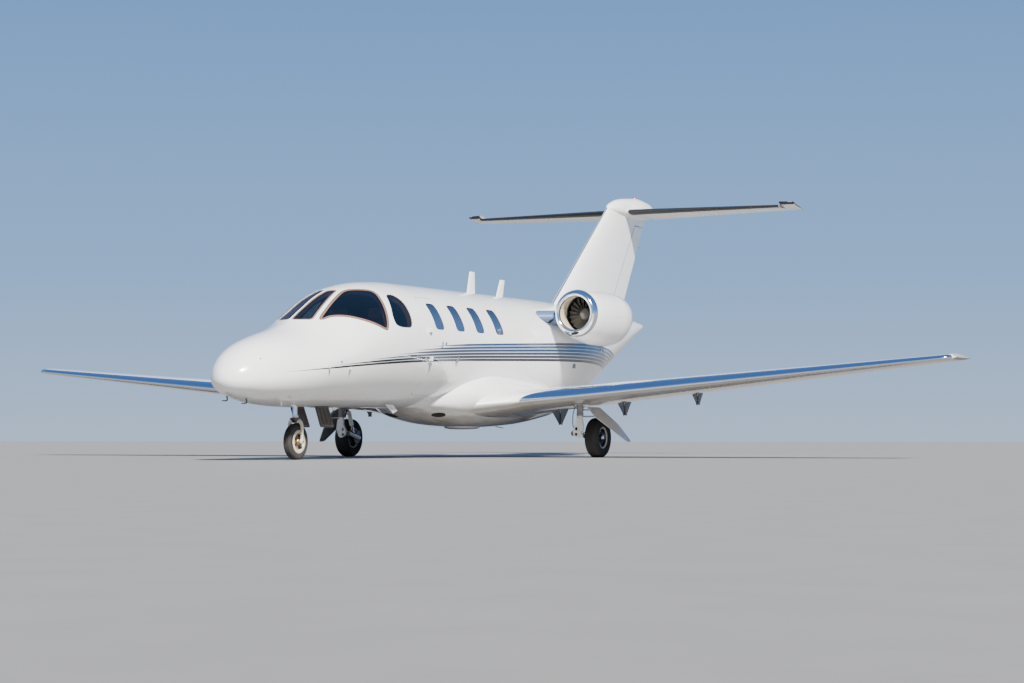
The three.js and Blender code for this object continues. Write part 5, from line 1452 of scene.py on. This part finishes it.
for label, side in SIDES.items():
    def at(station, y, z):
        return place(station, side * y, z)

    foot = mesh_object("foot", [slab(at(5.836, foot_ring[:, 1], foot_ring[:, 0]), (-0.042, 0, 0), 0.004)])
    for (y, z), r in foot_holes:
        carve(foot, turned([(r, -0.02), (r, 0.06)], at(5.836, y, z), (-1, 0, 0), 32))
    smooth(foot, 30)
    finish_faces(foot, [gear_paint])
    settle(foot, f"{label}_leg_foot", "airframe")

    out, down = math.cos(DOOR_SLOPE), math.sin(DOOR_SLOPE)
    face = place(gear_door[:, 0], side * (1.99 + out * gear_door[:, 1]), 0.69 - down * gear_door[:, 1])
    inward = np.array([0, -side * down, -out])
    inner_face = face.mean(0) + (face - face.mean(0)) * 0.93
    strut = [
        (turned(leg_tube, at(*LEG, 0), (0, 0, 1), 48), gear_paint),
        (turned(leg_collar, at(*LEG, 0), (0, 0, 1), 48), cove_paint),
        (rod(at(5.74, LEG[1], .74), at(6.02, LEG[1], .74), .038), cove_paint),
        (rod(at(5.88, 1.765, FOOT_Z), at(5.88, 1.905, FOOT_Z), .0245), brass),
        (rod(at(5.88, 1.757, FOOT_Z), at(5.88, 1.775, FOOT_Z), .034, .005), dark_steel),
        (pipe([at(5.90, 1.87, .63), at(5.93, 1.84, .628), at(5.98, 1.812, .622)], .024), gear_paint),
        (rod(at(5.92, 1.90, .56), at(5.96, 2.118, .56), .010), steel),
        (rod(at(5.92, 1.90, .65), at(5.96, 2.030, .65), .010), steel),
        (slab(face, inward * 0.006, 0.0015), plain_paint),
        # The door's inner face is cove grey: partly its own bare grey and partly painted shade, as it faces down and
        # in.
        (slab(inner_face + inward * 0.0058, inward * 0.0072, 0.002), cove_paint)]
    for (y, z), r in foot_holes:
        hollow = [(r * .5, -.008), (r + .002, -.006), (r + .002, .004), (r * .5, .006)]
        strut.append((turned(hollow, at(5.858, y, z), (-1, 0, 0), 32), hole_shade_black))
    piece(f"{label}_main_leg", "airframe", strut, f"{label}_main_strut")

    link_path = curve([at(5.86, LINK_Y, .335), at(5.96, LINK_Y, .335), at(6.10, LINK_Y, .308),
                       at(wheel_s, LINK_Y, wheel_z)], 30)
    hose = curve([at(5.90, 1.80, .70), at(5.845, 1.79, .58), at(5.85, 1.785, .45), at(5.95, 1.785, .375),
                  at(6.12, 1.79, .33), at(6.23, 1.83, .36)], 50)
    link = [
        (pipe(link_path, np.linspace(.034, .027, 30), 28, flat=0.8), gear_paint),
        (rod(at(5.98, 1.797, .622), at(5.98, 1.827, .622), .036, .004), gear_paint),
        (rod(at(5.982, LINK_Y, .610), at(6.045, LINK_Y, .450), .032, .004), gear_paint),
        (rod(at(6.040, LINK_Y, .462), at(6.098, LINK_Y, .315), .020, .002), chrome),
        (rod(at(6.10, 1.790, .312), at(6.10, 1.834, .312), .026, .004), steel),
        (rod(at(wheel_s, 1.790, wheel_z), at(wheel_s, 2.030, wheel_z), .026), steel),
        (round_about(at(wheel_s, 1.850, wheel_z), side, brake_disc), dark_steel),
        (sided(block((6.17, 1.832, .31), (6.33, 1.872, .372)), side), dark_steel),
        (pipe(hose, .006, 10), rubber)]
    piece(f"{label}_trailing_link", "airframe", link, f"{label}_main_link")
print("leg at station", LEG[0])

# %% [markdown]
# ## Nose gear
# The nose wheel turns in a fork below a short chromed piston. A dark cone on the fork's crown keeps
# spray off the piston, and one curved cream arm shows on the near side.

# %% Nose gear
wheel_s, wheel_z = NOSE_WHEEL["station"], NOSE_WHEEL["radius"]
centre = place(wheel_s, 0.0, wheel_z)
skin = tyre(centre, 1, wheel_z, NOSE_WHEEL["rim"], NOSE_WHEEL["width"], (0.009, 0.024), 0.005, 0.0045)
piece("nose_wheel_tyre", "nose_wheel", [(skin, rubber)], "nose_tire", 50)
near_face = [(.145, .043), (.1455, .049), (.138, .0535), (.112, .0530), (.104, .047), (.102, .036), (.108, .030),
             (.14, .030)]
disc = [(.02, .026), (.05, .028), (.098, .034), (.112, .040), (.136, .040), (.136, -.040), (.112, -.040),
        (.098, -.034), (.05, -.028), (.02, -.026)]
hub = [(.018, .066), (.030, .062), (.040, .050), (.046, .028), (.046, -.028), (.040, -.050), (.030, -.062),
       (.018, -.066)]
spots = [rod(centre + np.array([-ds, f * .0325, dz]), centre + np.array([-ds, f * .0395, dz]), .0190, .002, 20)
         for f in (1, -1) for ds, dz in ring_of(5, 0.073, lambda a, b: (a, b))]
piece("nose_wheel_rim", "nose_wheel",
      [(round_about(centre, 1, near_face, True), cream), (round_about(centre, -1, near_face, True), cream),
       (round_about(centre, 1, disc), disc_brown), (round_about(centre, 1, hub), brass)]
      + [(spot, hole_shade_black) for spot in spots], "nose_rim")

post = place(1.585, 0, 0)
piston = [(.024, .475), (.034, .480), (.034, .50), (.031, .503), (.031, .657), (.028, .66)]
spray_cone = [(.020, .458), (.030, .460), (.066, .508), (.069, .516), (.064, .516), (.036, .482)]
collar = [(.030, .5155), (.043, .520), (.043, .545), (.034, .550)]
fork = [(turned(piston, post, (0, 0, 1), 40), chrome),
        (turned(spray_cone, post, (0, 0, 1), 48), dark_steel),
        (turned(collar, post, (0, 0, 1), 40), gear_paint),
        (rod(place(wheel_s, -.102, wheel_z), place(wheel_s, .102, wheel_z), .0165), steel)]
arm_radius = np.interp(np.linspace(0, 1, 60), [0, .3, .75, 1], [.026, .024, .018, .019])
for side in SIDES.values():
    arm = curve([place(s, side * y, z) for s, y, z in (
        (1.587, .000, .474), (1.588, .045, .482), (1.592, .078, .458), (1.600, .091, .400), (1.604, .0885, .310),
        (wheel_s, .0865, wheel_z))], 60)
    fork.append((pipe(arm, arm_radius, 24, flat=0.72), cream))
    for first, last, finish, *size in ((.072, .1035, cream, .029, .005), (.100, .112, dark_steel, .013, .002, 6),
                                       (.072, .1, cream, .020)):
        fork.append((rod(place(wheel_s, side * first, wheel_z), place(wheel_s, side * last, wheel_z), *size), finish))
piece("nose_fork_arms", "nose_fork", fork, "nose_gear_fork")
cylinder = [(.036, .652), (.045, .656), (.045, .675), (.041, .680), (.041, .735), (.034, .74)]
leg = [(turned(cylinder, post, (0, 0, 1), 40), steel),
       (rod(place(1.610, 0, .69), place(2.005, 0, .74), .022), gear_paint),
       (rod(place(1.60, -.144, .74), place(1.60, .144, .74), .022), gear_paint),
       (rod(place(2.005, -.144, .74), place(2.005, .144, .74), .022), gear_paint),
       (rod(place(1.655, .018, .665), place(1.72, .018, .735), .010), chrome)]
piece("nose_leg_cylinder", "airframe", leg, "nose_gear_leg")
nose_door = flat_ring([[1.75, .672], [2.07, .672], [2.23, .40], [1.89, .40]], 0.03)
door_frame = nose_door.mean(0) + (nose_door - nose_door.mean(0)) * 0.80
for label, side in SIDES.items():
    parts = [(slab(place(nose_door[:, 0], side * .173, nose_door[:, 1]), (0, side * .008, 0), .0015), primer)]
    parts += [(pipe(place(door_frame[:, 0], side * y, door_frame[:, 1]), .006, 10, closed=True), tan_primer)
              for y in (.1835, .1705)]
    parts += [(rod(place(s, side * .1845, .64), place(s + .12, side * .1845, .43), .0065), tan_primer)
              for s in (1.88, 1.97)]
    piece(f"{label}_nose_door", "airframe", parts, f"{label}_nose_gear_door")
print("nose gear")

# %% [markdown]
# ## Cabin and cockpit inside
# Seat backs and the glareshield give the tinted windows their depth. Seats are foam cushions under
# leather: each is a closed form of ovals that pull in towards its ends, with sewn channels pressed in.

# %% Cushions and leather
FLOOR = 0.93
hide = Finish("cream_leather", (0.50, 0.42, 0.32), roughness=0.5)
wear = hide.noise(5.0, 4.0, 0.6)
hide.set("Base Color", hide.mix(wear, (0.42, 0.35, 0.27), (0.55, 0.47, 0.37)))
hide.set("Roughness", 0.42 + 0.2 * wear).bump(hide.noise(260.0, 2.0, 0.6), 0.0005)
leather = hide.material


def cushion(start, along, across, up, length, breadth, thick, channels=3, rings=48, sides=64):
    """Ring at t: start + along L t, half breadth B w(t) / 2, half thickness T h(t) / 2, on a squarish
    oval (|cos a|^0.55, |sin a|^0.62). w = (1 - |2t - 1|^8)^(1/4) pulls the ends in, the sides draw in by
    3% between the corners, and channels press in by 9% at equal steps."""
    t = np.concatenate([[0.001], 0.5 - 0.5 * np.cos(np.linspace(0.12, np.pi - 0.12, rings)), [0.999]])
    ends = np.clip(1 - np.abs(2 * t - 1) ** 8, 0.002, 1)
    wide = breadth / 2 * ends ** 0.25 * (1 - 0.03 * np.sin(np.pi * t) ** 2)
    seam = np.exp(-(((t * (channels + 1) + 0.5) % 1 - 0.5) / 0.06) ** 2)
    seam = np.where((t > 0.5 / (channels + 1)) & (t < 1 - 0.5 / (channels + 1)), seam, 0)
    high = thick / 2 * ends ** 0.5 * (0.90 + 0.10 * np.sin(np.pi * t)) * (1 - 0.09 * seam)
    a = full_turn(sides)
    c, s = signed_power(np.cos(a), 0.55), signed_power(np.sin(a), 0.62)
    start, along, across, up = floats(start, along, across, up)
    middle = start + (along * length) * t[:, None, None]
    return tube(middle + across * (wide[:, None] * c)[..., None] + up * (high[:, None] * s)[..., None])


def seat(name, front, y, facing):
    """One seat: pad, back and head rest as pieces, and its frame and arm rests as parts for one frame
    piece. Facing 1 looks to the nose; front is the station of its front edge."""
    def to(s, z, dy=0.0):
        return place(front + facing * s, y + dy, FLOOR + z)

    aft, side_on = np.array([-facing, 0, 0.0]), np.array([0, 1, 0.0])
    lean = unit(to(.585, .98) - to(.47, .42))
    normal = np.cross(lean, side_on) * facing
    pads = {"pad": cushion(to(.005, .325), aft, side_on, (0, 0, 1), .47, .41, .125, 3),
            "back": cushion(to(.465, .38), lean, side_on, normal, .48, .41, .115, 4),
            "head": cushion(to(.570, .865), lean, side_on, normal, .15, .27, .10, 0)}
    for part, skin in pads.items():
        piece(f"{name}_{part}", "airframe", [(skin, leather)])
    fore, rear = sorted((front + facing * .10, front + facing * .47))
    frame_parts = [(block((fore, y - .15, FLOOR + .03), (rear, y + .15, FLOOR + .27), 0.02), cove_paint)]
    for dy in (-.205, .205):
        arm = curve([to(.10, .47, dy), to(.14, .505, dy), to(.34, .505, dy), to(.46, .50, dy)], 24)
        frame_parts += [(pipe(arm, .0135, 12), leather), (rod(to(.42, .28, dy * .93), to(.45, .49, dy), .011), steel)]
    return frame_parts


crew, cabin_frames = [], []
for label, side in SIDES.items():
    crew += seat(f"crew_seat_{label}", 2.52, side * .29, 1)
for label, side in SIDES.items():
    y = side * .32
    cabin_frames += seat(f"aft_facing_seat_{label}", 4.82, y, -1) + seat(f"nose_facing_seat_{label}", 5.20, y, 1)
    cabin_frames.append((block((4.30, y - .02, .931), (5.76, y + .02, .95)), steel))
cabin_frames.append((block((4.96, -.34, .931), (5.02, .34, .95)), steel))
crew.append((block((2.67, -.31, .931), (2.73, .31, .955)), steel))
piece("crew_seat_frames", "airframe", crew, "crew_seats")
piece("cabin_seat_frames", "airframe", cabin_frames, "cabin_seats")
print("seats", 3 * len(SIDES))

# %% [markdown]
# ## Glareshield, panel and controls
# The glareshield is a padded hood across the cockpit, cut to the lining. Below it sit three displays
# and two yokes, and the pedestal carries the thrust levers.

# %% Instrument panel
hood_black = cloth_like("glareshield_black", (0.018, 0.018, 0.020), (0.030, 0.030, 0.032), 9.0, 0.75, 0.0006)
panel_grey = cloth_like("panel_grey", (0.10, 0.105, 0.11), (0.13, 0.135, 0.14), 16.0, 0.5, 0.0003)
display = Finish("dark_display_glass", (0.010, 0.014, 0.022), roughness=0.06, coat_weight=1.0)
display.set("Base Color", display.mix(display.noise(14.0, 3.0), (0.008, 0.010, 0.016), (0.020, 0.035, 0.055)))
hood = mesh_object("hood", [side_plate([(1.50, 1.578), (1.955, 1.608), (1.985, 1.570), (1.915, 1.255), (1.845, 1.255),
                                        (1.50, 1.505)], -0.79, 1.58, 0.018)])
carve(hood, tube(hull_rings(np.linspace(1.40, 2.2, 24), WALL + 0.003)), operation="INTERSECT")
smooth(hood, 35)
middle = middles(hood)
face_front = (NOSE_X - middle[:, 0] > 1.90) & (middle[:, 2] < 1.56)
finish_faces(hood, [hood_black, panel_grey], face_front)
settle(hood, "glareshield", "airframe", "instrument_panel")


def panel_face(level):
    """The station of the leaning panel at a level: 70 mm aft over 315 mm up."""
    return 1.915 + (level - 1.255) * .07 / .315


levels = 1.335 + .185 * np.array([0, 0, 1, 1])
breadths = .125 * np.array([-1, 1, 1, -1])
controls = [(slab(place(panel_face(levels) + .0005, y + breadths, levels), (-.006, 0, 0)), display.material)
            for y in (-.40, 0.0, .40)]
print("displays", len(controls))
pedestal = side_plate([(1.86, 1.29), (1.93, 1.29), (2.145, 1.15), (2.145, .935), (1.865, .935)], -.125, .25, .02)
controls.append((pedestal, panel_grey))
for y in (-.03, .03):
    controls += [(rod(place(2.03, y, 1.22), place(2.05, y, 1.315), .006), steel),
                 (rod(place(2.05, y - .02, 1.32), place(2.05, y + .02, 1.32), .014, .004, 20), hood_black)]
yoke_line = [(-.13, 1.42), (-.125, 1.34), (-.05, 1.30), (.05, 1.30), (.125, 1.34), (.13, 1.42)]
for y in (-.32, .32):
    yoke = curve([place(2.10, y + dy, z) for dy, z in yoke_line], 40)
    controls += [(pipe(yoke, .013, 12), hood_black), (rod(place(1.92, y, 1.305), place(2.10, y, 1.305), .014), steel)]
piece("panel_and_controls", "airframe", controls)
carpet = cloth_like("grey_carpet", (0.11, 0.10, 0.10), (0.17, 0.155, 0.15), 90.0, 0.95, 0.003)
finish_faces(bpy.data.objects["cabin_floor"], [carpet])

# %% [markdown]
# ## Antennas, probes and small fittings
# Blade antennas stand on the spine, and probes, drains and vents sit on the skin. None is large, but
# they are what tells a real aircraft from a shape.

# %% Blade antennas
def blade_antenna(name, station, chord, height, node, lean, tip):
    """A foil that leans back: root row and tip row, each half thickness straight between them."""
    root = section(station)[2] - 0.02
    rows = np.array([[root, station, 0, chord, .085],
                     [root + height * .96, station + lean * chord, 0, chord * tip, .10],
                     [root + height, station + (lean + .06) * chord, 0, chord * (tip - .10), .07]])
    levels = root + height * np.array([0, .25, .5, .75, .90, .95, .98, 1.0])
    piece(name, "airframe", [(foil(rows, levels, upright_lay, count=28), plain_paint)], node)


blade_antenna("front_blade_antenna", 6.14, 0.25, 0.33, "front_antenna", 0.35, 0.62)
blade_antenna("rear_blade_antenna", 7.05, 0.21, 0.27, "rear_antenna", 0.62, 0.70)

# %% [markdown]
# ## Blisters, pipes and plates on the skin
# The small fittings are bars, bent tubes, turned caps and plates again, and one new form, the blister,
# which is half an ovoid. Short tables say where each sits.

# %% Probes, drains and vents
def bump(centre, size, up=(0, 0, -1)):
    """A streamlined blister: half an ovoid of (length, breadth, height), r = sqrt(1 - t^2)."""
    length, breadth, height = size
    t = np.linspace(-0.98, 0.98, 24)[:, None]
    a = full_turn(28)[None]
    r = np.sqrt(1 - t**2)
    n = unit(up)
    u = unit(np.cross(n, [1.0, 0, 0]))
    spine = np.asarray(centre, float) + t[..., None] * [length / 2, 0, 0]
    return tube(spine + (r * np.cos(a) * breadth / 2)[..., None] * u + (r * np.sin(a) * height)[..., None] * n)


def four_corners(stations, y, levels, through, bevel=.003):
    """A small plate from four corners in a side view."""
    return slab(place(stations, y, levels), through, bevel)


grey_paint = cloth_like("vane_grey_paint", (0.15, 0.16, 0.19), (0.12, 0.13, 0.15), 20.0, 0.4, 0.0002)
fittings = [(bump(place(*where), size), plain_paint) for where, size in (
    ((1.10, .10, .700), (.07, .035, .035)), ((.95, .30, .776), (.07, .035, .030)),
    ((2.53, 0, .662), (.12, .05, .045)))]
for s0, y0, z0 in ((.22, -.10, .765), (.33, .10, .735)):
    drain = curve([place(s0 + s, y0, z0 - z) for s, z in ((0, 0), (.01, .045), (-.03, .058), (-.10, .058))], 30)
    fittings.append((pipe(drain, np.linspace(.010, .006, 30), 12), dark_steel))
fittings.append((four_corners([3.21, 3.40, 3.52, 3.40], .35, [.70, .70, .62, .585], (0, .010, 0)), plain_paint))
probe = curve([place(s, 0, z) for s, z in ((6.97, .56), (7.00, .47), (7.06, .435), (7.29, .413))], 40)
fittings.append((pipe(probe, .007, 10), steel))
for (s0, y0, z0), (s1, y1, z1) in (((1.297, .672, 1.147), (1.297, .661, 1.055)),
                                   ((1.727, .715, 1.136), (1.723, .692, 1.063))):
    for side in SIDES.values():
        top, foot = place(s0, side * y0, z0), place(s1, side * y1, z1)
        fittings.append((pipe(curve([top, (top + foot) / 2 + [.012, 0, 0], foot], 16), .0075, 10, flat=1.6), steel))
for s0, y0, z0, size in ((1.535, .695, 1.196, .014), (.312, .310, 1.202, .010)):
    vent = [(size * .4, -.004), (size, -.002), (size, .003), (size * .4, .004)]
    fittings.append((turned(vent, place(s0, y0, z0), (0, 1, .3), 20), dark_steel))
fittings.append((four_corners([4.355, 4.385, 4.315, 4.290], .800, [1.335, 1.330, 1.258, 1.262], (0, .020, 0)),
                 grey_paint))
for profile, segments, finish in (([(.022, -.03), (.030, -.02), (.030, .012), (.022, .018)], 32, plain_paint),
                                  ([(.010, -.02), (.015, .0), (.015, .0195), (.010, .020)], 24, hole_shade_black)):
    fittings.append((turned(profile, place(9.139, .730, 1.590), (0, 1, -.35), segments), finish))
fittings.append((block((7.95, .790, 1.285), (8.01, .826, 1.350), .004), grey_paint))
OVALS = [  # centre, two half axes and the way outward, all as (station, y, z)
    ((4.638, .361, .579), (.054, .0815, 0), (.078, -.042, -.0275), (-.245, .165, -.955)),
    ((7.153, 1.212, 1.757), (.002, .062, .010), (-.012, 0, .020), (-.85, .10, -.50)),
    ((7.281, .772, 1.948), (-.0045, .051, .020), (.0266, -.013, -.017), (-.40, .30, -.86))]
round_angle = np.arange(40)[:, None] * np.pi / 20
for side in SIDES.values():
    for centre, across, along, (back, left, up) in OVALS:
        ring = centre + np.cos(round_angle) * across + np.sin(round_angle) * along
        facing = np.array([-back, side * left, up])
        outline = place(ring[:, 0], side * ring[:, 1], ring[:, 2]) - facing * .006
        fittings.append((slab(outline, facing * .011), hole_shade_black))
fittings.append((four_corners([.80, .86, .90], [.39, .37, .36], [.775, .725, .745], (0, .012, -.006), .002),
                 plain_paint))
fittings.append((rod(place(.87, .245, .715), place(.90, .235, .655), .011, .004), plain_paint))
print("small fittings", len(fittings))

# %% Lights, door handle, hinges and static wicks
for label, glass in (("left", red_lens), ("right", lens("green_lens", (0.01, 0.30, 0.12)))):
    dome = bump(place(5.80, SIDES[label] * 7.085, 1.289), (.13, .05, .035), (0, 0, 1))
    piece(f"{label}_wing_tip_light", "airframe", [(dome, glass)])
piece("small_fittings", "airframe", fittings)
handle_ends = [hull(s, a, -.004) for s, a in ((3.865, -2.5), (3.895, 2.4))]
lock_out = hull(4, 0, -1) - hull(4, 0)
piece("door_handle", "door", [(rod(*handle_ends, .013, .004), dark_steel),
                                            (bump(hull(3.99, 1.0, -.001), (.05, .05, .004), lock_out), steel)])
for body, shift, (first, last) in (("airframe", -.03, (3.535, 3.566)), ("door", .03, (3.566, 3.600))):
    lugs = []
    for level in (1.29, 1.66):
        z = level + shift / 2 - .0125
        eye = turned([(.008, 0), (.0145, .002), (.0145, .0235), (.008, .0255)], place(3.566, .842, z), (0, 0, 1), 24)
        lugs += [(eye, plain_paint), (block((first, .812, z + .001), (last, .850, z + .0245), .003), plain_paint)]
    piece(f"{body}_hinge_lugs", body, lugs)
black_paint = cloth_like("matt_black_paint", (0.02, 0.02, 0.022), (0.035, 0.035, 0.037), 20.0, 0.6, 0.0002)


def wick(s, y, z):
    return rod(place(s, y, z), place(s + .10, y, z), .0022, .0005, 8), black_paint


for label, side in SIDES.items():
    wicks = []
    for y in (4.7, 5.5, 6.2):
        lead, level, chord, _ = rows_at(WING, y)
        wicks.append(wick(lead + chord - .012, side * y, level))
    piece(f"{label}_aileron_wicks", f"{label}_aileron", wicks)
wicks = [wick(6.118 + 3.969 + (1.2357 - .6108) * z - .012, 0, z) for z in (2.9, 3.4)]
piece("rudder_wicks", "rudder", wicks)
print("wicks on the rudder", len(wicks))
